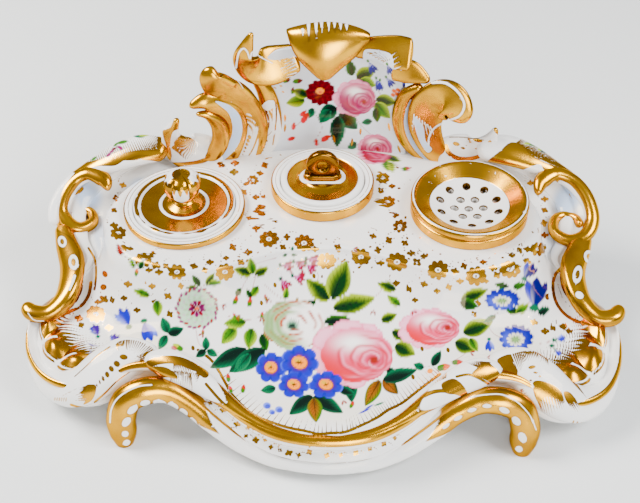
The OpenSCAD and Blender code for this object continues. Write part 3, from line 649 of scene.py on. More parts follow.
def fill_mesh(name: str, points: Array, faces: list[Array]) -> bpy.types.Mesh:
    """Puts points in millimetres and faces into a new smooth mesh in metres."""
    mesh = bpy.data.meshes.new(name)
    mesh.vertices.add(len(points))
    mesh.vertices.foreach_set("co", (points * MM).astype(np.float32).ravel())
    corners = np.concatenate([f.ravel() for f in faces])
    sizes = np.concatenate([np.full(len(f), f.shape[1]) for f in faces])
    mesh.loops.add(len(corners))
    mesh.loops.foreach_set("vertex_index", corners.astype(np.int32))
    mesh.polygons.add(len(sizes))
    mesh.polygons.foreach_set("loop_start", np.concatenate([[0], np.cumsum(sizes)[:-1]]).astype(np.int32))
    mesh.update(calc_edges=True)
    mesh.validate()
    smooth(mesh)
    return mesh


def smooth(mesh: bpy.types.Mesh, angle: float = 50.0) -> None:
    """Shades a mesh smooth, apart from edges sharper than the angle in degrees."""
    mesh.polygons.foreach_set("use_smooth", np.ones(len(mesh.polygons), bool))
    mesh.set_sharp_from_angle(angle=math.radians(angle))


@dataclass
class Piece:
    """One visible piece of the inkstand."""

    name: str
    body: str
    slot: str
    mesh: bpy.types.Mesh
    replaces: tuple[str, ...] = ()
    guide: dict[str, Array] = field(default_factory=dict)

    def settle(self, finish: bpy.types.Material) -> bpy.types.Object:
        """Links the piece, gives it its finish and sets it on its body."""
        thing = bpy.data.objects.new(self.name, self.mesh)
        bpy.context.scene.collection.objects.link(thing)
        self.mesh.materials.clear()
        self.mesh.materials.append(finish)
        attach(thing, self.body)
        if self.replaces:
            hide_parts(*self.replaces)
        LOG.info("%s: %d faces on %s", self.name, len(self.mesh.polygons), self.body)
        return thing

    def points(self) -> Array:
        """The mesh's points in millimetres."""
        co = np.empty(len(self.mesh.vertices) * 3, np.float32)
        self.mesh.vertices.foreach_get("co", co)
        return co.reshape(-1, 3).astype(float) / MM

    def normals(self) -> Array:
        """The mesh's normals at its points."""
        n = np.empty(len(self.mesh.vertices) * 3, np.float32)
        self.mesh.vertex_normals.foreach_get("vector", n)
        return n.reshape(-1, 3).astype(float)

    def paint(self) -> Paint:
        """Opens the surface for painting."""
        return Paint(self.points(), self.normals(), self.guide)

    def wear(self, paint: Paint) -> None:
        """Writes a finished painting into the mesh: firing deepens the enamel, gold is brown at its edges and painted
        brown as shade on faces that point down.
        """
        count = len(paint.points)
        rgba = np.hstack([np.clip(paint.colour, 0, 1) ** 1.3, np.ones((count, 1))])
        edge = 0.45 * soft(1.5, 0.3, paint.gilt)
        # Painted shade: gold on faces that point down turns brown.
        under = 0.75 * soft(0.15, -0.6, paint.normals[:, 2])
        tone = np.maximum.reduce([paint.tone, edge, under])
        colour = self.mesh.attributes.new("enamel", "FLOAT_COLOR", "POINT")
        colour.data.foreach_set("color", rgba.astype(np.float32).ravel())
        for name, values in (("gilt", np.clip(paint.gilt, -6, 6)), ("tone", np.clip(tone, 0, 1))):
            self.mesh.attributes.new(name, "FLOAT", "POINT").data.foreach_set("value", values.astype(np.float32))


# ---------------------------------------------------------------- shader maths
class Value:
    """A node's output that can be used in sums: each operator adds one Math node."""

    def __init__(self, shop: "Workshop", socket: bpy.types.NodeSocket) -> None:
        """Wraps a socket."""
        self.shop, self.socket = shop, socket

    def _math(self, kind: str, *terms: Any) -> "Value":
        return self.shop.node("ShaderNodeMath", {"operation": kind}, *terms)

    def __add__(self, other: Any) -> "Value":
        """Sum."""
        return self._math("ADD", self, other)

    __radd__ = __add__

    def __mul__(self, other: Any) -> "Value":
        """Product."""
        return self._math("MULTIPLY", self, other)

    def __sub__(self, other: Any) -> "Value":
        """Difference."""
        return self._math("SUBTRACT", self, other)

    def rise(self, lo: float, hi: float) -> "Value":
        """Goes smoothly from 0 at lo to 1 at hi."""
        return self.shop.node("ShaderNodeMapRange", {"interpolation_type": "SMOOTHSTEP"}, self, lo, hi, 0.0, 1.0)


class Workshop:
    """Builds one material's nodes."""

    def __init__(self, name: str) -> None:
        """Starts an empty material."""
        self.material = bpy.data.materials.new(name)
        self.material.use_nodes = True
        self.tree = self.material.node_tree
        self.tree.nodes.clear()

    def node(self, kind: str, settings: dict[str, Any], *inputs: Any, out: int | str = 0,
            named: dict[str, Any] | None = None) -> Value:
        """Adds a node.

        Args:
            kind: the node's type.
            settings: properties that are set first.
            inputs: values or links of its first sockets.
            out: the output to wrap.
            named: values or links of sockets by name.

        Returns:
            The wrapped output.
        """
        made = self.tree.nodes.new(kind)
        for key, value in settings.items():
            setattr(made, key, value)
        pairs = list(enumerate(inputs)) + list((named or {}).items())
        for key, value in pairs:
            if isinstance(value, Value):
                self.tree.links.new(value.socket, made.inputs[key])
            elif value is not None:
                made.inputs[key].default_value = value
        return Value(self, made.outputs[out])

    def attribute(self, name: str, out: str) -> Value:
        """Reads a painted attribute."""
        return self.node("ShaderNodeAttribute", {"attribute_name": name}, out=out)

    def noise(self, at: Value, scale: float, detail: float = 3.0, rough: float = 0.5) -> Value:
        """Cloudy noise at a scale per metre."""
        return self.node("ShaderNodeTexNoise", {},
            named={"Vector": at, "Scale": scale, "Detail": detail, "Roughness": rough})

    def blend(self, share: Any, a: Any, b: Any, how: str = "MIX") -> Value:
        """Mixes two colours."""
        made = self.tree.nodes.new("ShaderNodeMix")
        made.data_type = "RGBA"
        made.blend_type = how
        for socket, value in ((made.inputs[0], share), (made.inputs[6], a), (made.inputs[7], b)):
            if isinstance(value, Value):
                self.tree.links.new(value.socket, socket)
            else:
                socket.default_value = value if isinstance(value, (int, float)) else (*value, 1.0)
        return Value(self, made.outputs[2])

    def finish(self, shader: Value) -> bpy.types.Material:
        """Closes the material with its output."""
        end = self.tree.nodes.new("ShaderNodeOutputMaterial")
        self.tree.links.new(shader.socket, end.inputs[0])
        return self.material


# ---------------------------------------------------------------- finishes
@dataclass(frozen=True)
class Glaze:
    """Clear glaze over white porcelain, with painted enamel and burnished gold that has worn thin."""

    name: str
    wear: float = 0.5
    wear_scale: float = 260.0
    gold: Colour = (0.88, 0.43, 0.012)
    gold_deep: Colour = (0.58, 0.26, 0.008)
    gold_brown: Colour = (0.2, 0.085, 0.006)

    def make(self) -> bpy.types.Material:
        """Builds the finish.

        The gold's mask is the painted depth, less a cloudy wear, cut at zero. Brown tone and soft clouds
        colour the gold, and fine scratches roughen it.
        """
        shop = Workshop(self.name)
        at = shop.node("ShaderNodeTexCoord", {}, out="Object")
        enamel = shop.attribute("enamel", "Color")
        gilt = shop.attribute("gilt", "Fac")
        tone = shop.attribute("tone", "Fac")
        cloud = shop.noise(at, 55.0, 3.0)
        specks = shop.noise(at, self.wear_scale * 4, 2.0, 0.6)
        patches = shop.noise(at, self.wear_scale, 4.0, 0.62)
        worn = patches.rise(0.60, 0.72) * self.wear + specks.rise(0.64, 0.75) * (0.6 * self.wear)
        mask = (gilt - worn * 2.2).rise(-0.22, 0.22)
        gold = shop.blend(cloud.rise(0.35, 0.7), self.gold, self.gold_deep)
        gold = shop.blend(tone, gold, self.gold_brown)
        glaze = shop.blend(shop.noise(at, 24.0, 2.0).rise(0.3, 0.8) * 0.25, enamel, (0.93, 0.95, 1.0), "MULTIPLY")
        colour = shop.blend(mask, glaze, gold)
        rough = mask * (0.10 + cloud * 0.14) + 0.06
        wave = shop.noise(at, 110.0, 2.0)
        scratch = shop.noise(at, 900.0, 2.0) * mask
        bump = shop.node("ShaderNodeBump", {},
            named={"Strength": 0.06, "Distance": 0.001, "Height": wave + scratch * 0.25})
        shader = shop.node("ShaderNodeBsdfPrincipled", {},
            named={"Base Color": colour, "Metallic": mask, "Roughness": rough, "Normal": bump, "IOR": 1.42,
            "Specular Tint": (0.95, 0.72, 0.42, 1.0)})
        return shop.finish(shader)


# ---------------------------------------------------------------- the stand's shell
@dataclass
class StandShell:
    """The cast shell: deck, wall, pen tray, fluted corners, rolled rim and lower roll, in four skins."""

    plan: Plan = PLAN
    body: str = "stand"
    slot: str = "white_glaze"
    half: Array = field(default_factory=lambda: np.array([
        (0, -89, 0, 3, 38, 27, 29, 4, 0), (20, -86, 19, 1, 38, 27, 29, 4, 0),
        (36, -77.5, 34, -5, 38, 28, 30, 6, 0), (52, -65, 49, -11, 38, 30, 33, 13, 0),
        (68, -56.5, 62, -13, 38, 32, 37, 18, 0), (86, -55, 75, -11, 37, 31, 36, 17, 0.2),
        (104, -59, 87, -7, 35, 27, 28, 10, 0.8), (119, -57, 95, -1, 35, 26, 24, 9, 1),
        (132, -47.5, 101, 7, 35, 26, 23, 9, 1), (140, -31, 104, 14, 35, 27, 24, 10, 1),
        (139, -14, 105, 20, 36, 30, 29, 13, 0.5), (124, -1, 106, 25, 38, 34, 36, 18, 0),
        (119, 12, 106, 30, 38, 35, 39.5, 20, 0), (128, 26, 105, 35, 40, 38, 41.5, 17, 0),
        (134, 42, 101, 45, 42, 40, 47, 12, 0), (127, 58, 93, 55, 47, 46, 55, 10, 0),
        (106, 71, 79, 63, 53, 54, 61, 9, 0), (78, 80, 62, 67, 56, 56, 61, 8, 0),
        (48, 86, 42, 72, 57, 56, 57, 8, 0), (22, 88.8, 20, 78, 57, 56.5, 56, 8, 0),
        (0, 89, 0, 80, 57, 56.5, 56, 8, 0)], float))

    def sections(self) -> Array:
        """The closed row of sections: the right half and its mirror image."""
        left = self.half[-2:0:-1].copy()
        left[:, [0, 2]] *= -1
        return np.vstack([self.half, left])

    def flute(self, x: Array, y: Array) -> Array:
        """Scallops of the corner shells, which spread from the fan's root."""
        turn = np.degrees(np.arctan2(y - self.plan.fan[1], np.abs(x) - self.plan.fan[0]))
        return self.plan.flute_depth * (np.abs(np.sin(np.radians(180 * turn / self.plan.flute_angle))) - 0.5)

    def profile(self, step: Array) -> Array:
        """Profile points of the sections at these steps, in the drawn plan.

        Returns:
            An array of sections by 25 points by x, y, z: 19 points over the outside from the deck down to
            the base, and 6 back up the inside.
        """
        s = around(self.sections(), step)
        rim, deck = s[:, 0:2], s[:, 2:4]
        foot, tray, top, base = s[:, 4], s[:, 5], s[:, 6], s[:, 7]
        fan = np.clip(s[:, 8], 0, 1)
        gap = np.maximum(np.linalg.norm(rim - deck, axis=1), 4)
        out = (rim - deck) / gap[:, None]
        near = np.minimum(gap / 30, 1)
        low, high, skin = (top - base) / 25, self.plan.deck, self.plan.wall
        fall = high - foot
        middle = np.array(self.plan.deck_middle)
        fan_at = mix(deck, rim, 0.8)
        wave = fan * self.flute(fan_at[:, 0], fan_at[:, 1])
        inset = lambda mm: rim - out * (mm * near)[:, None]
        share = lambda t: mix(deck, rim, t)
        rows = [(mix(middle, deck, self.plan.deck_flat), high + 0 * foot),
            (mix(middle, deck, 0.97), high - 0.045 * fall), (share(0.005), high - 0.2 * fall),
            (share(0.06), high - 0.55 * fall), (share(0.17), high - 0.975 * fall),
            (share(0.36), mix(foot, tray, 0.75)), (share(0.62), tray + 0.6 * wave),
            (inset(15), mix(tray, top, 0.5) + wave + 1.5 * fan), (inset(9.5), top - 0.9 + 0.7 * wave - 0.5 * fan),
            (inset(6.5), top - 1.8 - 1.5 * fan), (inset(2.5), top), (inset(0.4), top - 3 * low),
            (inset(1.4), top - 6.5 * low), (inset(3), top - 10.5 * low), (inset(1.2), top - 14.5 * low),
            (inset(2), top - 16 * low), (rim, top - 20 * low), (inset(1.2), top - 23.5 * low), (inset(3.5), base),
            (inset(3.5) - out * skin, base), (inset(9) - out * skin, mix(base, top - skin, 0.6)),
            (share(0.5), tray - skin - 1), (share(0.15) - out * skin * 0.7, foot - skin),
            (deck - out * (skin * near)[:, None], high - 0.2 * fall - skin),
            (mix(middle, deck, self.plan.deck_flat - 0.03), high - skin + 0 * foot)]
        return np.stack([np.hstack([xy, z[:, None]]) for xy, z in rows], 1)

    def even_steps(self, lo: float, hi: float, count: int) -> Array:
        """Steps between two sections that lie evenly along the rim."""
        fine = np.linspace(lo, hi, 1600)
        s = around(self.sections(), fine)
        way = np.linalg.norm(np.diff(s[:, 0:2], axis=0), axis=1) + np.linalg.norm(np.diff(s[:, 2:4], axis=0), axis=1)
        run = np.concatenate([[0], np.cumsum(way)])
        spots = np.linspace(0, run[-1], count)
        return np.interp(spots, run, fine)

    def outside(self, profile: Array, first: int, last: int, counts: Sequence[int]) -> Array:
        """Rows on the smooth curve through the profile's points, from one to another.

        Args:
            profile: sections by points by x, y, z.
            first, last: points where the rows start and end.
            counts: rows in each stretch between two points.
        """
        rows = []
        for k, count in zip(range(first, last), counts):
            a, b = profile[:, max(k - 1, 0)], profile[:, k]
            c, d = profile[:, k + 1], profile[:, min(k + 2, 18)]
            t = np.arange(count) / count
            rows.append(bend(a[None], b[None], c[None], d[None], t[:, None, None]))
        rows.append(profile[None, :, last])
        return np.concatenate(rows)

    def skins(self) -> list[Piece]:
        """Builds the deck, the front of the tray, the sides with the back, and the rim."""
        total = len(self.sections())
        deck_steps = np.concatenate([np.mod(self.even_steps(-6.0, 6.0, 361)[:-1], total),
            self.even_steps(6.0, total - 6.0, 241)[:-1]])
        p = self.profile(deck_steps)
        fan = lambda steps: np.clip(around(self.sections(), steps)[:, 8], 0, 1)
        middle = np.array([*self.plan.deck_middle, self.plan.deck])
        out = np.append(np.linspace(0.012, 0.36, 12), np.linspace(0.37, 1, 96)[:-1])
        flat = mix(middle, p[:, 0][None], out[:, None, None])
        under = np.array([*self.plan.deck_middle, self.plan.deck - self.plan.wall])
        deck = np.concatenate([flat, self.outside(p, 0, 2, (6, 8)), p[None, :, 23], p[None, :, 24],
            mix(p[None, :, 24], under, 0.5), mix(p[None, :, 24], under, 0.97)])
        pieces = [("deck_skin", Skin(self.plan.placed(deck)), ("stand_shell",), {})]
        for name, lo, hi, columns, counts in (("tray_front_skin", -6.0, 6.0, 570, (8, 12, 18, 26, 38, 20, 8)),
                ("tray_side_skin", 6.0, total - 6.0, 680, (10, 12, 14, 18, 16, 10, 5))):
            steps = np.mod(self.even_steps(lo, hi, columns), total)
            q = self.profile(steps)
            grid = np.concatenate([self.outside(q, 2, 9, counts), q[None, :, 20], q[None, :, 21], q[None, :, 22],
                q[None, :, 23]])
            levels = self.levels(2, 9, counts, (20, 21, 22, 23))
            self.carve_fans(grid, levels, fan(steps))
            turn = np.degrees(np.arctan2(grid[..., 1] - self.plan.fan[1], np.abs(grid[..., 0]) - self.plan.fan[0]))
            more = {"fan": np.tile(fan(steps), len(levels)), "turn": turn.ravel()}
            pieces.append((name, Skin(self.plan.placed(grid), loop_rows=True, loop_columns=False), (),
                {**self.guide(grid, levels, steps), **more}))
        steps = np.concatenate([np.mod(self.even_steps(-6.0, 6.0, 561)[:-1], total),
            self.even_steps(6.0, total - 6.0, 301)[:-1]])
        q = self.profile(steps)
        counts = (12, 10, 10, 10, 10, 6, 8, 7, 5)
        grid = np.concatenate([self.outside(q, 9, 18, counts), q[None, :, 19], q[None, :, 20]])
        levels = self.levels(9, 18, counts, (19, 20))
        self.carve_rim(grid, levels)
        pieces.append(("rim_skin", Skin(self.plan.placed(grid), loop_rows=True), (), self.guide(grid, levels, steps)))
        return [Piece(name, self.body, self.slot, fill_mesh(name, *skin.build()), nodes, guide)
            for name, skin, nodes, guide in pieces]

    @staticmethod
    def levels(first: int, last: int, counts: Sequence[int], more: Sequence[int]) -> Array:
        """Profile level of each row of a skin."""
        runs = [k + np.arange(count) / count for k, count in zip(range(first, last), counts)]
        return np.concatenate([*runs, [last], np.array(more)]).astype(float)

    @staticmethod
    def guide(grid: Array, levels: Array, steps: Array) -> dict[str, Array]:
        """Gives each point its level, its step along the rim and its way down the profile in drawing units."""
        way = np.linalg.norm(np.diff(grid, axis=0), axis=2)
        run = 1.8 * np.vstack([np.zeros(grid.shape[1]), np.cumsum(way, axis=0)])
        outer = levels < 19
        at = {f"run_{k}": np.tile(run[outer][np.argmin(np.abs(levels[outer] - k))], len(levels))
            for k in range(int(levels[0]), int(levels[outer][-1]) + 1)}
        along_rim = np.concatenate([[0], np.cumsum(np.linalg.norm(np.diff(grid[0], axis=0), axis=1))])
        return {"level": np.repeat(levels, len(steps)), "step": np.tile(steps, len(levels)), "run": run.ravel(),
            "way": np.tile(along_rim, len(levels)), **at}

    def carve_fans(self, grid: Array, levels: Array, fan: Array) -> None:
        """Deepens the corner shells: the flutes end in a scalloped lip, with a channel behind it."""
        x, y = np.abs(grid[..., 0]) - self.plan.fan[0], grid[..., 1] - self.plan.fan[1]
        turn = np.degrees(np.arctan2(y, x))
        scallop = np.abs(np.sin(np.radians(180 * turn / self.plan.flute_angle)))
        level = levels[:, None] - 0.42 * (scallop - 0.6)
        lip = 0.8 * np.exp(-((level - 7.7) / 0.35) ** 2) - 0.9 * np.exp(-((level - 8.5) / 0.4) ** 2)
        groove = 0.5 * (scallop - 0.75) * soft(5.2, 6.4, level) * soft(8.2, 7.6, level)
        grid[..., 2] += np.where(levels[:, None] < 19, fan * (lip + groove), 0)

    @staticmethod
    def carve_rim(grid: Array, levels: Array) -> None:
        """Sharpens the grooves under the roll."""
        middle = grid[:, :, :2].mean(axis=(0, 1))
        out = unit(grid[..., :2] - middle)
        dip = 0.7 * np.exp(-((levels - 12.9) / 0.7) ** 2) + 0.8 * np.exp(-((levels - 14.9) / 0.3) ** 2)
        grid[..., :2] -= out * np.where(levels < 19, dip, 0)[:, None, None]


# ---------------------------------------------------------------- leaves and scrolls
@dataclass(frozen=True)
class Ornament:
    """A leaf or scroll along stations of x, y, z, face x, face y, face z, width and thickness."""

    name: str
    stations: tuple[tuple[float, ...], ...]
    cup: float = 0.0
    slot: str = "gilt"
    blunt: float = 1.0
    flat_end: bool = False
    rings: int = 150
    sides: int = 72

    def mesh(self) -> tuple[bpy.types.Mesh, Array, Array]:
        """Sweeps an oval section along the stations.

        The ring is the path's point, plus the side way by half the width and the cosine, plus the face way
        by half the thickness and the sine and by the cup, which lifts both edges. The ends are domed,
        over the length that blunt gives in half thicknesses.

        Returns:
            The mesh, and each point's share along the path and angle round the ring.
        """
        row = np.array(self.stations, float)
        u = np.linspace(0, 1, self.rings)
        s = along(row, u)
        spots = PLAN.placed(s[:, :3])
        ahead = PLAN.placed(along(row, np.minimum(u + 0.001, 1))[:, :3])
        behind = PLAN.placed(along(row, np.maximum(u - 0.001, 0))[:, :3])
        way = unit(ahead - behind)
        look = s[:, 3:6]
        face = unit(look - way * np.sum(look * way, 1, keepdims=True))
        side = np.cross(way, face) * PLAN.spread
        run = np.concatenate([[0], np.cumsum(np.linalg.norm(np.diff(spots, axis=0), axis=1))])
        end = run if self.flat_end else np.minimum(run, run[-1] - run)
        cap = self.blunt * s[:, 7] / 2
        dome = np.sqrt(np.clip(1 - (1 - np.clip(end / np.maximum(cap, 0.1), 0, 1)) ** 2, 0.0, 1))
        dome = np.maximum(dome, 0.04)
        a = np.linspace(0, TAU, self.sides, endpoint=False)
        c, h = np.cos(a)[None], np.sin(a)[None]
        wide, thick = (s[:, 6] / 2 * dome)[:, None], (s[:, 7] / 2 * dome)[:, None]
        lift = thick * h + self.cup * (s[:, 6] * dome)[:, None] * (c**2 - 0.3)
        grid = spots[:, None] + side[:, None] * (wide * c)[..., None] + face[:, None] * lift[..., None]
        points, faces = Skin(grid).build()
        shares = np.append(np.repeat(u, self.sides), [0, 1])
        angles = np.append(np.tile(a, self.rings), [math.pi / 2] * 2)
        return fill_mesh(self.name, points, faces), shares, angles


def pair(name: str, stations: tuple[tuple[float, ...], ...], **more: Any) -> list[Ornament]:
    """Gives the right ornament and its mirror image on the left; the left leg stands a little forward."""
    right = np.array(stations, float)
    left = right * np.array([-1, 1, 1, -1, 1, 1, 1, 1])
    if name == "volute":
        left[:, 0] += 3.4 * np.clip((-left[:, 0] - 118) / 12, 0, 1)
        left[:, 1] = 56.5 + 0.74 * (left[:, 1] - 56.5)
        right[:, 1] = 56.5 + 1.07 * (right[:, 1] - 56.5)
    if name == "side_scroll":
        left[:3, 1] += (6.5, 4.0, 1.5)
    if name == "front_scroll_leg":
        shift = np.clip((np.arange(len(right)) - 5) / 2, 0, 1)
        left[:, 1] -= 3.5 * shift
        right[:, 1] -= 0.5 * shift
    sides = {"left": left, "right": right}
    return [Ornament(f"{name}_{end}", tuple(map(tuple, rows)), **more) for end, rows in sides.items()]


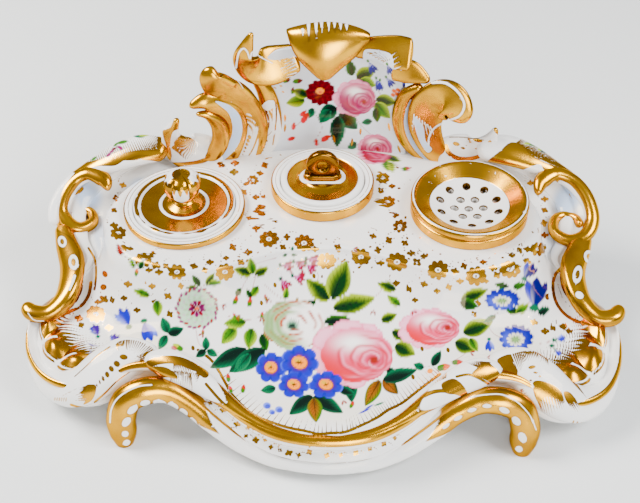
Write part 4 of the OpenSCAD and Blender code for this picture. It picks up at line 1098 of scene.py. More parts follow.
ORNAMENTS: list[Ornament] = [
    Ornament("crest_plate", (
        (5, 80, 53, 0, -1, 0.2, 78, 6), (6, 81, 65, 0, -1, 0.2, 73, 6.5), (7, 83, 80, 0, -1, 0.1, 69, 6.5),
        (6, 84, 96, 0, -1, 0, 70, 6), (4, 84, 109, 0, -1, -0.1, 68, 5.5), (4, 83, 118, 0, -1, -0.2, 48, 4)),
        cup=0.06, slot="painted_glaze", rings=240, sides=300),
    Ornament("crest_shell", (
        (3, 85, 108, 0, 1, 0, 30, 4), (3, 86, 118, 0, 1, 0.3, 36, 4.5), (3, 83.5, 127, 0, 0.5, 1, 40, 5),
        (2, 78, 126, 0, -0.7, 1, 39, 5), (1, 73.5, 117, 0, -1, 0.4, 28, 5),
        (0.8, 71.3, 106, 0, -1, 0.1, 5, 3.5)),
        cup=-0.08, rings=200, sides=160, blunt=0.6),
    Ornament("crest_leaf_left", (
        (-12, 83, 112, 0, -1, 0.3, 14, 4), (-24, 82, 108, 0, -1, 0.3, 20, 5),
        (-33, 79.5, 108, -0.2, -1, 0.3, 17, 5), (-38, 77.5, 114, -0.3, -1, 0.3, 11, 5),
        (-36, 77.5, 122, -0.2, -1, 0.2, 6.5, 4), (-33.5, 78, 128.5, -0.2, -1, 0.2, 2, 2.5)),
        cup=0.08, rings=174, sides=78),
    Ornament("crest_leaf_right", (
        (15, 84, 116, 0, -1, 0.3, 9, 4), (26, 82, 117, 0, -1, 0.3, 13, 5),
        (36, 79, 117, 0.1, -1, 0.3, 17, 5), (43.5, 76.5, 117, 0.2, -1, 0.3, 16, 3.5)),
        cup=0.08, rings=174, sides=78),
    Ornament("crest_tip_right", (
        (34, 82.5, 106, 0, -1, 0.2, 13, 4), (44, 79.5, 105, 0.1, -1, 0.2, 12, 4.5),
        (52.5, 76, 102, 0.2, -1, 0.2, 3, 3)),
        cup=0.08, rings=96, sides=70),
    Ornament("crest_border_left", (
        (-33, 80, 101, 0, -1, 0.2, 5, 4), (-28, 80, 92, 0, -1, 0.2, 9, 6),
        (-25.5, 79, 78, 0, -1, 0.2, 10, 7), (-27, 79, 64, 0, -1, 0.3, 9, 7),
        (-33, 77, 54.5, 0, -1, 0.5, 7, 5)),
        cup=0.02, rings=156, sides=52),
    Ornament("crest_border_right", (
        (49, 76, 99, 0, -1, 0.2, 5, 5), (42, 78, 92, 0, -1, 0.2, 8, 6), (39.5, 78.5, 79, 0, -1, 0.2, 9, 7),
        (43, 78, 66, 0, -1, 0.3, 9, 7), (51, 75.5, 58, 0, -1, 0.6, 8, 6), (60, 71, 55, 0, -0.8, 0.8, 6, 5)),
        cup=0.02, rings=156, sides=52),
    Ornament("acanthus_outer_left", (
        (-41, 76.5, 53, 0, -1, 0.3, 13, 6), (-36, 77, 66, -0.1, -1, 0.2, 15, 7),
        (-36, 76, 79, -0.2, -1, 0.2, 17, 7), (-41, 74, 92, -0.3, -1, 0.3, 18, 7),
        (-48.5, 71, 101, -0.3, -1, 0.4, 17, 7), (-53.5, 69, 109, -0.2, -1, 0.5, 12, 7),
        (-53, 69.5, 115, -0.2, -1, 0.4, 4, 4)),
        cup=0.05, rings=208, sides=78),
    Ornament("acanthus_crescent_left", (
        (-51, 73, 53.5, 0.1, -1, 0.3, 11, 6), (-46, 73, 66, 0.1, -1, 0.3, 12, 7),
        (-44.5, 73, 79, 0, -1, 0.3, 14, 7), (-49, 71, 90, 0, -1, 0.4, 13, 7),
        (-57, 68, 96, 0, -1, 0.5, 9, 6), (-65, 66, 94, 0, -1, 0.4, 3, 4)),
        cup=0.05, rings=192, sides=70),
    Ornament("acanthus_curl_left", (
        (-64, 70.5, 58, 0, -1, 0.4, 6, 5), (-56, 71, 61, 0, -1, 0.3, 8, 5.5),
        (-51.5, 70, 70, 0, -1, 0.3, 9, 6), (-51.5, 68, 81, 0, -1, 0.3, 8, 6),
        (-56, 66.5, 88.5, 0, -1, 0.3, 5, 5), (-62, 65.5, 90, 0, -1, 0.3, 2, 3)),
        cup=0.05, rings=174, sides=60),
    Ornament("crest_scroll_right", (
        (64, 72, 53.5, 0, -1, 0.3, 9, 6), (56, 74, 64, 0.1, -1, 0.2, 13, 6.5),
        (51.5, 75, 77, 0.1, -1, 0.2, 17, 7), (53.5, 74, 89, 0, -1, 0.2, 20, 7),
        (60.5, 71, 95, -0.2, -1, 0.3, 21, 7), (66, 68, 90.5, -0.3, -1, 0.3, 17, 7),
        (65, 66.5, 84.5, -0.3, -1, 0.3, 8, 5)),
        cup=0.1, rings=208, sides=96),
    Ornament("boat_leaf_left", (
        (-50, 72.5, 60, 0, -1, 0.4, 13, 5), (-61, 71.5, 62, 0, -1, 0.4, 19, 5.5),
        (-70.5, 70, 65, -0.1, -1, 0.4, 19, 5.5), (-75.5, 68.5, 75, -0.2, -1, 0.3, 10, 5),
        (-71.5, 67, 86, -0.2, -1, 0.2, 2.5, 3)),
        cup=0.08, slot="white_glaze", rings=208, sides=96),
    Ornament("boat_leaf_right", (
        (58, 73, 60, 0, -1, 0.5, 13, 5), (68, 73, 61, 0, -1, 0.5, 18, 5.5),
        (78, 71.5, 63.5, 0.1, -1, 0.5, 16, 5.5), (84, 70, 71, 0.2, -1, 0.3, 8, 5),
        (86.5, 68.5, 79, 0.2, -1, 0.2, 2.5, 3)),
        cup=0.08, slot="white_glaze", rings=192, sides=96),
    *pair("shoulder_leaf", (
        (78, 68.5, 66, 0.1, -0.3, 1, 12, 8), (92, 67.5, 66.5, 0.2, -0.3, 1, 18, 9),
        (105, 64.5, 63.5, 0.3, -0.2, 1, 17, 9), (117, 60, 59, 0.5, -0.1, 1, 12, 8),
        (127, 53, 55, 0.7, 0, 1, 8, 8), (133, 43, 50, 0.9, 0, 0.8, 6, 7), (133.5, 34, 45, 1, 0, 0.6, 4, 5)),
        cup=-0.03, slot="white_glaze", rings=208, sides=78),
    *pair("volute", (
        (107, 46, 55, 0.3, -0.2, 1, 3, 4), (109.5, 52, 58.5, 0.3, -0.2, 1, 8, 6),
        (117, 56.5, 60, 0.3, 0, 1, 8, 6), (126, 53.5, 57.5, 0.3, 0, 1, 7, 6),
        (132, 46, 53.5, 0.4, 0, 1, 7, 6), (134, 37, 48, 0.4, 0, 1, 7, 6), (130, 30, 44, 0.2, 0, 1, 7, 6),
        (122, 28.5, 41.5, 0, 0, 1, 6.5, 6), (115.5, 34, 41.5, 0, 0, 1, 5.5, 6),
        (116.5, 41.5, 42.5, 0, 0, 1, 5, 6), (122, 44, 43, 0, 0, 1, 4.6, 5.5), (127, 41, 43.5, 0, 0, 1, 4.4, 5.5),
        (128.5, 35.5, 43.5, 0, 0, 1, 4, 5)),
        rings=260, sides=42),
    *pair("side_scroll", (
        (130.5, 31, 42, 0.6, 0, 1, 7, 6), (126.5, 22, 40.5, 0.6, 0, 1, 11, 8),
        (121.5, 11, 39, 0.6, 0, 1, 13.5, 9), (121, 1, 36.5, 0.6, 0, 1, 13, 9),
        (123.5, -8, 33.5, 0.5, 0.1, 1, 11, 9), (130, -14, 30.5, 0.3, 0.2, 1, 9, 8),
        (138, -14, 31, 0.2, 0.3, 1, 8.5, 8), (141.5, -9, 33, 0.2, 0.3, 1, 5.5, 6)),
        cup=0.04, rings=208, sides=70),
    *pair("corner_scroll", (
        (74, -47, 33, 0, -0.4, 1, 8, 8), (81, -45, 32.5, 0, -0.5, 1, 15, 11),
        (90, -46, 32, 0.1, -0.6, 1, 20, 12), (99, -50.5, 28, 0.2, -0.7, 0.9, 21, 13),
        (108, -54, 22, 0.3, -0.8, 0.8, 19, 13), (118, -52, 16.5, 0.4, -0.8, 0.7, 17, 12),
        (128, -45, 14, 0.7, -0.7, 0.6, 13, 11), (135.5, -33, 14.5, 1, -0.3, 0.5, 8, 8),
        (138.5, -20, 17, 1, 0, 0.5, 4, 4)),
        slot="white_glaze", rings=260, sides=110),
    *pair("front_scroll_leg", (
        (5, -85.5, 8, 0, -1, 0.4, 4, 4), (20, -83, 8, 0.2, -1, 0.4, 7, 6),
        (36, -75.5, 9.5, 0.3, -1, 0.5, 9, 8), (50, -68, 15.5, 0.3, -1, 0.5, 10.5, 9),
        (60, -63, 22, 0.2, -1, 0.5, 11, 10), (70, -60.5, 27, 0, -1, 0.5, 12, 11),
        (80, -60.75, 28, 0, -1, 0.4, 13, 11), (88, -61, 23.5, 0, -1, 0.2, 13.5, 11.5),
        (91, -64, 15, 0, -1, 0, 13.5, 11.5), (91, -65, 8, 0, -1, 0, 13, 11),
        (91, -65, 4, 0, -1, 0, 11.5, 10.5), (91, -65, 0, 0, -1, 0, 9, 9)),
        rings=314, sides=74, flat_end=True),
    *pair("rim_leaf", (
        (80, -50, 36, -0.2, -0.5, 1, 6, 5), (71, -52, 36.5, 0, -0.6, 1, 13, 8),
        (61, -56, 35, 0.1, -0.7, 1, 13, 9), (51, -62, 32, 0.3, -0.8, 1, 10, 8),
        (42, -68.5, 30, 0.3, -0.8, 1, 7, 6), (33, -75, 28.5, 0.2, -0.8, 1, 5, 5),
        (22, -81, 27.5, 0.1, -0.8, 1, 4.5, 4.5), (10, -84.5, 27, 0, -0.8, 1, 4, 4),
        (2, -85.5, 27, 0, -0.8, 1, 3, 3)),
        slot="white_glaze", rings=260, sides=60),
    *pair("rear_foot", (
        (82, 73.5, 15, 0, 1, 0, 19, 8), (82, 73.5, 7, 0, 1, 0, 15, 10), (82, 73.5, 0, 0, 1, 0, 11, 10)),
        slot="white_glaze", rings=52, sides=52, flat_end=True),
]


# ---------------------------------------------------------------- pots and covers
@dataclass(frozen=True)
class Turned:
    """A closed surface turned round an upright axis, from a row of radii and heights."""

    at: tuple[float, float, float]
    profile: tuple[Point, ...]
    columns: int = 120
    step: float = 0.35

    def mesh(self, name: str, bulge: Callable[[Array, Array, Array], Array] | None = None) -> bpy.types.Mesh:
        """Turns the profile, with rows no farther apart than the step."""
        p = np.array(self.profile, float)
        rows = [p[:1]]
        for a, b in zip(p, p[1:]):
            count = max(1, int(np.ceil(np.linalg.norm(b - a) / self.step)))
            rows.append(mix(a, b, np.linspace(0, 1, count + 1)[1:, None]))
        q = np.vstack(rows)
        a = np.linspace(0, TAU, self.columns, endpoint=False)
        r, z = np.broadcast_arrays(q[:, :1], q[:, 1:])[0], q[:, 1:] + 0 * a
        r = r * np.ones_like(a)
        if bulge:
            r = bulge(r, z, a[None] + 0 * r)
        grid = np.stack([r * np.cos(a), r * np.sin(a), z], -1) + np.array(PLAN.placed(np.array(self.at)))
        return fill_mesh(name, *Skin(grid).build())


def rounded(points: Sequence[Point], radius: float = 0.5, steps: int = 5) -> tuple[Point, ...]:
    """Rounds the corners of a row of points."""
    p = np.array(points, float)
    out = [p[0]]
    for a, b, c in zip(p, p[1:], p[2:]):
        cut = min(radius, np.linalg.norm(b - a) * 0.45, np.linalg.norm(c - b) * 0.45)
        start, end = b + unit(a - b) * cut, b + unit(c - b) * cut
        t = np.linspace(0, 1, steps + 1)[:, None]
        out.extend((1 - t) ** 2 * start + 2 * t * (1 - t) * b + t**2 * end)
    return tuple(map(tuple, [*out, p[-1]]))


@dataclass(frozen=True)
class Pot:
    """A pot in its socket: sizes in millimetres."""

    body: str
    at: Point
    flange: float
    high: float
    ledge: float = 4.5
    wall: float = 3.0
    deep: float = 36.0
    seat_step: float = 2.0
    seat_ring: float = 4.5
    gap: float = 0.35

    @property
    def spot(self) -> tuple[float, float, float]:
        """Middle of the socket at the top of the deck."""
        return (*self.at, PLAN.deck)

    @property
    def side(self) -> float:
        """Radius of the pot's side."""
        return self.flange / 2 - self.ledge

    def shell(self) -> Turned:
        """The ink pot."""
        rf, rb, rm, rs = self.flange / 2, self.side, self.side - self.wall, self.flange / 2 - self.seat_ring
        top, low, d, w = self.high, self.high - self.seat_step, self.deep, self.wall
        return Turned(self.spot,
            rounded([(0.3, -d), (rb - 1, -d), (rb, 2 - d), (rb, -0.02), (rf, 0.02), (rf, top), (rs, top), (rs, low),
            (rm, low), (rm, w + 3 - d), (rm - 3, w - d), (0.3, w - d)], 0.9))

    def cover(self, neck: float, neck_h: float) -> Turned:
        """The cover's disc with its beaded edge and the spigot below it, from its seat up."""
        rc = self.flange / 2 - self.seat_ring - self.gap
        rp = self.side - self.wall - self.gap
        return Turned((*self.at, PLAN.deck + self.high - self.seat_step),
            rounded([(0.3, 0), (rp - 2.5, 0), (rp - 2.5, -4), (rp, -4), (rp, 0), (rc, 0), (rc, 2.9), (rc - 1.2, 3.4),
            (rc - 2.6, 3.2), (rc - 3.6, 2.4), (neck + 4, 2.8), (neck + 1, neck_h - 0.6), (neck, neck_h),
            (0.3, neck_h)], 0.5))


LEFT_POT = Pot("left_pot", (-67.0, 31.0), 59.0, 3.5)
CENTRE_POT = Pot("centre_pot", (0.0, 47.0), 51.0, 6.0)
POUNCE_POT = Pot("pounce", (71.0, 30.0), 57.0, 9.5)
ALL_POTS = (LEFT_POT, CENTRE_POT, POUNCE_POT)


def carve(thing: bpy.types.Object, tool: bpy.types.Mesh) -> None:
    """Cuts a closed mesh out of a piece."""
    cutter = bpy.data.objects.new("cutter", tool)
    bpy.context.scene.collection.objects.link(cutter)
    cut = thing.modifiers.new("cut", "BOOLEAN")
    cut.operation, cut.solver, cut.object = "DIFFERENCE", "EXACT", cutter
    shape = bpy.data.meshes.new_from_object(thing.evaluated_get(bpy.context.evaluated_depsgraph_get()))
    thing.modifiers.clear()
    thing.data = shape
    bpy.data.objects.remove(cutter)


def carved(mesh: bpy.types.Mesh, tools: Iterable[bpy.types.Mesh], angle: float = 50.0) -> bpy.types.Mesh:
    """Gives the mesh less the tools."""
    thing = bpy.data.objects.new("blank", mesh)
    bpy.context.scene.collection.objects.link(thing)
    for tool in tools:
        carve(thing, tool)
    shape = thing.data
    bpy.data.objects.remove(thing)
    smooth(shape, angle)
    return shape


def drill(at: Point, radius: float, low: float, high: float, columns: int = 96) -> bpy.types.Mesh:
    """A cylinder to cut with, from one height to another."""
    a = np.linspace(0, TAU, columns, endpoint=False)
    x, y = PLAN.placed(np.array([*at, PLAN.deck]))[:2]
    ring = np.stack([x + radius * np.cos(a), y + radius * np.sin(a)], -1)
    grid = np.stack([np.hstack([ring, np.full((columns, 1), z)]) for z in (low, high)])
    return fill_mesh("drill", *Skin(grid).build())


def pots() -> list[Piece]:
    """Builds the two ink pots, their covers with a bud and a ring knob, and the pierced pounce pot."""
    bud_at = (*LEFT_POT.at, PLAN.deck + LEFT_POT.high - LEFT_POT.seat_step + 5)
    bud = Turned(bud_at, ((0.1, -0.6), (4.4, -0.5), (5.6, -0.3), (5.9, 0.5), (5.0, 1.3), (5.0, 2.0), (6.6, 3.4),
        (8.3, 5.6), (9.1, 8.4), (9.2, 10.4), (8.7, 12.4), (7.6, 14.0), (6.0, 15.2), (4.6, 15.6), (3.6, 15.3),
        (2.0, 15.5), (0.1, 15.6)))
    ring = CENTRE_POT
    ring_at = np.array(PLAN.placed(np.array([*ring.at, PLAN.deck + ring.high - ring.seat_step + 4.2 + 2.5 + 4.6])))
    a = np.linspace(0, TAU, 120, endpoint=False)
    b = np.linspace(0, TAU, 48, endpoint=False)
    square = lambda v: np.sign(v) * np.abs(v) ** 0.6
    r = 5.15 + 2.75 * square(np.cos(b))
    y = 2.2 * square(np.sin(b))
    torus = ring_at + np.stack([r * np.cos(a)[:, None], y + 0 * a[:, None], r * np.sin(a)[:, None]], -1)
    bar_at = np.array(PLAN.placed(np.array([*ring.at, PLAN.deck + ring.high - ring.seat_step])))
    stadium = np.stack([np.sign(np.cos(a)) * 5 + 3.96 * np.cos(a), 3.96 * np.sin(a)], -1)
    levels = ((0.05, 3.2), (1, 3.2), (1, 6.2), (0.93, 6.6), (0.85, 6.7), (0.05, 6.7))
    bar = np.stack([bar_at + np.hstack([stadium * k, np.full((len(a), 1), z)]) for k, z in levels])
    rf, rb, rs, edge, d = 28.5, POUNCE_POT.side, 19.0, 5.0, POUNCE_POT.deep
    dish = Turned(POUNCE_POT.spot,
        rounded([(0.2, -d), (rb - 1, -d), (rb, 2 - d), (rb, -0.02), (rf, 0.02), (rf, 4.9), (rf - 1.2, 5.5), (rf, 6.1),
        (rf + 0.15, 7.9), (rf - 0.4, 9.0), (rf - 1.8, 9.45), (rf - 3, 8.9), (rs + 0.3, edge + 0.15), (rs, edge - 0.1),
        (0.6 * rs, edge - 2.8), (0.2, edge - 4), (0.2, edge - 6.5), (0.6 * rs, edge - 5.3), (rb - 3, 1.7),
        (rb - 3, 3 - d), (0.2, 3 - d)], 0.7), columns=150)
    x0, y0 = POUNCE_POT.at
    tools = [drill((x0 + x, y0 + y), 1.7, PLAN.deck - 3, PLAN.deck + 19, 32) for x, y in pounce_holes()]
    return [Piece("left_pot_shell", "left_pot", "white_glaze", LEFT_POT.shell().mesh("left_pot_shell"),
        ("left_ink_pot",)),
        Piece("left_cover_disc", "left_lid", "gilt", LEFT_POT.cover(4.5, 5.0).mesh("left_cover_disc"),
        ("left_cover",)), Piece("left_cover_bud", "left_lid", "gilt", bud.mesh("left_cover_bud", petals)),
        Piece("centre_pot_shell", "centre_pot", "gilt", CENTRE_POT.shell().mesh("centre_pot_shell"),
        ("centre_ink_pot",)),
        Piece("centre_cover_disc", "centre_lid", "gilt", CENTRE_POT.cover(9.0, 4.2).mesh("centre_cover_disc"),
        ("centre_cover",)),
        Piece("centre_cover_bar", "centre_lid", "gilt", fill_mesh("centre_cover_bar", *Skin(bar).build())),
        Piece("centre_cover_ring", "centre_lid", "gilt",
        fill_mesh("centre_cover_ring", *Skin(torus, loop_rows=True).build())),
        Piece("pounce_pot_shell", "pounce", "gilt", carved(dish.mesh("pounce_pot_shell"), tools), ("pounce_pot",)),]


def pounce_holes() -> list[Point]:
    """Places of the holes, from the middle of the dish: one, a ring of six and a ring of ten."""
    spots = [(0.0, 0.0)] + [(7.03, 60.0 * k) for k in range(6)] + [(14.44, 36.0 * k + 18) for k in range(10)]
    return [(r * math.cos(math.radians(t)), r * math.sin(math.radians(t))) for r, t in spots]


def petals(r: Array, z: Array, a: Array) -> Array:
    """Lobes of the bud's six petals, deepest at its widest."""
    low = z.min()
    share = (z - low) / (z.max() - low)
    return r * (1 - (0.14 - 0.14 * np.abs(np.sin(3 * a)) ** 0.7) * soft(0.12, 0.5, share))


# ---------------------------------------------------------------- painters
class Gilder:
    """The gilder's and flower painter's work on one surface, region by region, in the drawing plane."""

    def __init__(self, paint: Paint) -> None:
        """Takes the surface to decorate."""
        self.paint = paint
        self.flowers = Flowers(paint)

    # -- helpers
    def gold(self, points: Sequence[Point], wide: float, end: float | None = None, tone: float = 0.0) -> None:
        """A curved gold line."""
        self.paint.gild(*self.paint.line(curved(points), wide, end), tone=tone)

    def white(self, points: Sequence[Point], wide: float, end: float | None = None) -> None:
        """A curved line of bare glaze."""
        self.paint.bare(*self.paint.line(curved(points), wide, end))

    def dark(self, points: Sequence[Point], wide: float, tone: float = 0.8) -> None:
        """A brown line in the gold or at its edge."""
        at, depth = self.paint.line(curved(points), wide)
        self.paint.darken(at, depth, tone)

    def fill(self, points: Sequence[Point], tone: float = 0.0) -> None:
        """A gold patch with a curved edge."""
        self.paint.gild(*self.paint.patch(looped(points)), tone=tone)

    def clear(self, points: Sequence[Point]) -> None:
        """A patch of bare glaze with a curved edge."""
        self.paint.bare(*self.paint.patch(looped(points)))

    def shade_patch(self, points: Sequence[Point], share: float = 1.0) -> None:
        """A patch of pale blue painted shade with a curved edge."""
        self.paint.lay(*self.paint.patch(looped(points)), Enamel.SHADE_BLUE.light, share)

    def dots(self, points: Sequence[Point], size: float, end: float | None = None, turn: float = 0.0) -> None:
        """A row of gold dots from one size to another."""
        end = size if end is None else end
        for k, (x, y) in enumerate(points):
            r = mix(size, end, k / max(len(points) - 1, 1))
            self.paint.gild(*self.paint.oval(x, y, r, 0.7 * r, turn), tone=0.3)

    def ovals(self, rows: Iterable[tuple[float, ...]], tone: float | None = None) -> None:
        """Gold ovals of a given tone, or bare ones, from rows of place, two radii and turn."""
        for row in rows:
            if tone is None:
                self.paint.bare(*self.paint.oval(*row))
            else:
                self.paint.gild(*self.paint.oval(*row), tone=tone)

    def ring(self, x: float, y: float, long: float, wide: float, turn: float = 0.0) -> None:
        """A white ring with a gold middle."""
        self.paint.bare(*self.paint.oval(x, y, long, wide, turn))
        self.paint.gild(*self.paint.oval(x, y, 0.5 * long, 0.48 * wide, turn))

    # -- the deck and the tray
    def glaze_tints_and_shade(self) -> None:
        """Tints of the glaze: cream in the tray, and pale blue painted shade in the recesses."""
        p = self.paint
        for x, y, long, wide, turn, tint, share in ((88, 195, 22, 17, 60, Enamel.SHADE_BLUE, 1.0),
                (566, 200, 23, 17, 115, Enamel.SHADE_BLUE, 1.0), (100, 235, 26, 9, 80, Enamel.SHADE_BLUE, 0.5),
                (552, 238, 24, 9, 100, Enamel.SHADE_BLUE, 0.5), (150, 350, 60, 34, 15, Enamel.CREAM, 0.7),
                (500, 350, 60, 34, 165, Enamel.CREAM, 0.6), (322, 410, 90, 20, 0, Enamel.CREAM, 0.6),
                (140, 185, 14, 10, 0, Enamel.SHADE_BLUE, 0.6)):
            at, depth = p.oval(x, y, long, wide, turn)
            p.colour[at] += (tint.light - p.colour[at]) * (soft(0, 0.6 * wide, depth) * share)[:, None]

    def deck(self) -> None:
        """The gold daisies along the deck's front and the sprigs scattered between them."""
        for x, y, r in ((225, 272, 8.5), (269, 239, 8.5), (304, 243, 8.5), (326.5, 261, 8.5), (361, 257, 8.5),
                (397, 262, 9.5), (438, 270, 9.5), (476, 276, 9.5), (510, 269.5, 9), (538, 249, 7), (118.5, 233, 7),
                (143, 260, 8), (96, 314, 8.5), (177, 272, 8), (253, 180, 5), (261, 210, 6), (383, 178, 6),
                (388, 202, 6.5), (400, 226, 6.5)):
            self.paint.daisy(x, y, 1.22 * r, 9 if r > 8 else 8, x * 7 % 45)
        for x, y, r, turn in ((123, 185, 3, 20), (116, 198, 3, 80), (114, 210, 3, 40), (114, 225, 3.4, 0),
                (123.5, 248, 3.4, 60), (130, 248.5, 3, 10), (131, 259, 3, 0), (153, 254, 3.2, 90), (156, 265, 4, 30),
                (159, 272, 3.4, 0), (166, 266, 3, 50), (194, 266, 3.4, 20), (205, 270, 3, 70), (210, 262, 3.2, 0),
                (241, 262, 3.4, 40), (248, 252, 3.6, 0), (233, 247, 3.6, 60), (226, 258, 2.6, 0), (283, 247, 3, 40),
                (287, 237, 3.2, 90), (256, 228, 3.2, 0), (262, 226, 2.6, 60), (249, 218, 2.4, 20), (256, 197, 3, 0),
                (244, 192, 3, 50), (264, 197, 2.6, 20), (234, 172, 3.6, 0), (221, 164.5, 3.4, 30), (235, 163, 3.4, 0),
                (265, 165, 3.4, 70), (260, 173, 3, 10), (246, 184, 2.4, 0), (276, 221, 2.6, 0), (315, 249, 3.2, 0),
                (338, 247, 3.4, 30), (345, 262, 3.4, 0), (378, 250, 3.4, 80), (381, 263, 3, 0), (373, 236, 3, 20),
                (389, 240, 3.4, 60), (395, 215, 3.2, 0), (381, 190, 3, 50), (392, 186, 2.8, 0), (377, 201, 2.8, 10),
                (405, 243, 3.2, 40), (411, 253, 3.4, 0), (417, 262, 4, 50), (424, 256, 3, 0), (455, 271, 3.6, 20),
                (464, 266, 3.2, 70), (493, 268, 3.6, 10), (497, 275, 3.4, 60), (483, 262, 2.8, 0),
                (527.5, 249, 3.4, 10), (519.6, 250, 3, 60), (512, 255, 3, 0), (527, 261, 3.6, 30), (530.5, 183, 3, 0),
                (538, 189, 3.4, 50), (544.6, 199, 3.2, 0), (544.6, 210, 3, 30), (544, 223, 3.4, 80),
                (544.6, 235, 3.2, 0), (79, 318, 3.6, 20), (81.5, 325, 3, 60), (109, 327.5, 3.4, 0), (104, 299, 4, 40),
                (98, 302, 3, 0), (112, 300, 3, 70), (137, 310, 3, 0), (170, 314, 3.2, 60), (149, 270, 3, 0),
                (563, 326, 3.4, 0), (546, 296, 3.6, 60), (534, 322, 3.4, 20), (545, 331, 3.6, 0), (553, 328, 3, 50),
                (569, 331, 3, 10), (477, 303, 3.4, 20), (474, 314, 3, 60), (460, 281, 3.2, 0), (486, 281, 2.6, 0),
                (128, 284, 3.6, 10), (140, 292, 3.4, 60), (152, 286, 3.2, 0), (168, 296, 3.6, 40), (181, 286, 3, 80),
                (124, 298, 3, 0), (155, 302, 3, 20), (185, 303, 3, 60), (396, 283, 3.4, 0), (409, 289, 3, 50),
                (424, 284, 3.4, 20), (437, 291, 3, 0), (449, 287, 3.2, 70), (415, 300, 2.8, 0)):
            self.paint.sprig(x, y, 1.4 * r, turn)
        for k in range(330):
            x, y = 215 + 331 * (k * 0.618034 % 1), 166 + 112 * (k * 0.7548777 % 1)
            bare_deck = all(math.hypot((x - cx) / rx, (y - cy) / ry) > 1.12
                for cx, cy, rx, ry in ((186, 206, 62, 44), (322, 187, 51, 37), (470, 206, 58, 44)))
            inner = y > 236 - 0.0009 * (x - 322) ** 2 or x < 275 or 372 < x < 412 or x > 530
            if bare_deck and inner and not (290 < x < 372 and y < 225):
                self.dots([(x, y)], 0.8 + 1.1 * (k * 0.37 % 1) ** 2, turn=k * 40)

    def bouquet(self) -> None:
        """The posy in the tray: roses, auriculas, an aster and fuchsias among green leaves."""
        f, e = self.flowers, Enamel
        for row in (((207, 283), (196, 292), (193, 300)), ((244, 268), (256, 264), (276, 258)),
                ((264, 284), (275, 294), (285, 300)), ((308, 264), (318, 274), (316, 284)),
                ((252, 272), (244, 284), (240, 296)), ((256, 275), (252, 290), (250, 298)),
                ((228, 316), (246, 320), (262, 316)), ((196, 330), (200, 345), (214, 352)),
                ((371, 299), (380, 292), (386, 280)), ((392, 352), (400, 342), (397, 333)),
                ((404, 372), (414, 369), (430, 366)), ((451, 362), (462, 356), (474, 346)),
                ((486, 320), (492, 316), (500, 312)), ((502, 338), (494, 334), (488, 326)),
                ((543, 290), (530, 302), (516, 312)), ((540, 344), (548, 342), (562, 336))):
            f.stem(row)
        for x, y, long, wide, turn, hues in ((206, 285, 13, 6, -55, FRESH), (200, 286, 12, 6, -125, MOSSY),
                (208, 284, 13, 5.5, -10, SPRING), (198, 288, 11, 5, 180, FRESH), (252, 274, 17, 9, -165, FRESH),
                (253, 274, 15, 8, -100, SPRING), (255, 275, 14, 8, -30, FRESH), (258, 286, 12, 7, 120, SPRING),
                (236, 296, 9, 5, -60, MOSSY), (251, 298, 9, 5, -115, MOSSY), (329, 300.6, 28, 15, -137, FRESH),
                (332, 299, 37, 21, -69, FRESH), (333, 308.5, 39, 17, -14, FRESH),
                (324, 322, 24, 10, -8, (e.TEAL_DARK, e.LEAF)), (285, 300, 12, 6, -80, SPRING),
                (316, 302, 15, 7, 170, MOSSY), (236, 327, 20, 12, 130, SPRING), (252, 328, 19, 12, 100, SPRING),
                (262, 334, 16, 9, 75, MOSSY), (246, 322, 20, 11, 175, SPRING), (247, 349, 37, 15, 153, COOL),
                (265, 349.5, 38, 17, 148, COOL), (250, 354, 22, 10, 130, SEA), (206, 350, 12, 7, -90, SEA),
                (206, 350, 11, 7, 145, COOL), (207, 350, 11, 7, 30, SEA), (388, 367, 14, 8, 60, COOL),
                (380, 380, 27, 12, 120, TAWNY), (383, 379, 19, 11, 45, (e.OCHRE, e.LEAF_DARK)),
                (350, 378, 22, 12, 86, COOL), (383, 380, 32, 12, -17, COOL), (276, 388, 14, 8, 170, SEA),
                (313, 396, 27, 13, 142, COOL), (314, 396, 30, 13, 30, COOL), (314, 398, 22, 13, 85, TAWNY),
                (338, 388, 16, 8, 20, COOL), (381, 321, 16, 9, -25, FRESH), (392, 331, 17, 11, 25, FRESH),
                (395, 345, 20, 15, 25, FRESH), (463, 333, 29, 15, -22, FRESH), (455, 342, 20, 14, 20, FRESH),
                (470, 338, 14, 8, 60, SPRING), (461, 300, 26, 11, -22, FRESH), (460, 302, 17, 10, 15, MOSSY),
                (518, 312, 12, 8, -165, MOSSY), (516, 313, 14, 8, -35, SPRING), (509, 287, 13, 6, -170, MOSSY),
                (513, 288, 12, 7, -20, (e.LEAF, e.LEAF)), (538, 314, 12, 8, -30, COOL), (496, 316, 12, 5, 155, SEA),
                (432, 366, 16, 8, -60, COOL), (424, 368, 10, 7, -160, SEA), (549, 346, 6, 4, 0, SEA),
                (552, 339, 5, 3.4, 30, SEA), (134, 268, 10, 5, -110, SPRING), (139, 269, 9, 5, -60, MOSSY),
                (122, 256, 12, 5, -110, (e.RED, e.BROWN)), (157, 300, 15, 9, 85, SPRING),
                (168, 333, 15, 9, -110, SEA), (168, 334, 15, 9, -20, COOL), (167, 335, 15, 8, 120, SEA),
                (396, 290, 18, 9, 200, FRESH), (400, 306, 15, 8, -140, SPRING), (150, 296, 16, 7, -160, SPRING)):
            f.leaf(x, y, 1.12 * long, 1.16 * wide, turn, *hues)
        f.aster(197, 308.5, 21.5)
        for x, y, turn in ((280.3, 265.4, 5), (293.7, 261.9, 22), (306.1, 258.6, 12), (305.5, 263.2, 38),
                (280.6, 278.3, 55), (292.4, 275.7, 18)):
            f.fuchsia(x, y, 12, turn)
        for x, y, long, turn in ((291, 255, 6, 0), (287, 254, 5, 150), (292, 251, 5, -80)):
            f.leaf(x, y, long, 3.4, turn, e.TEAL, e.TEAL)
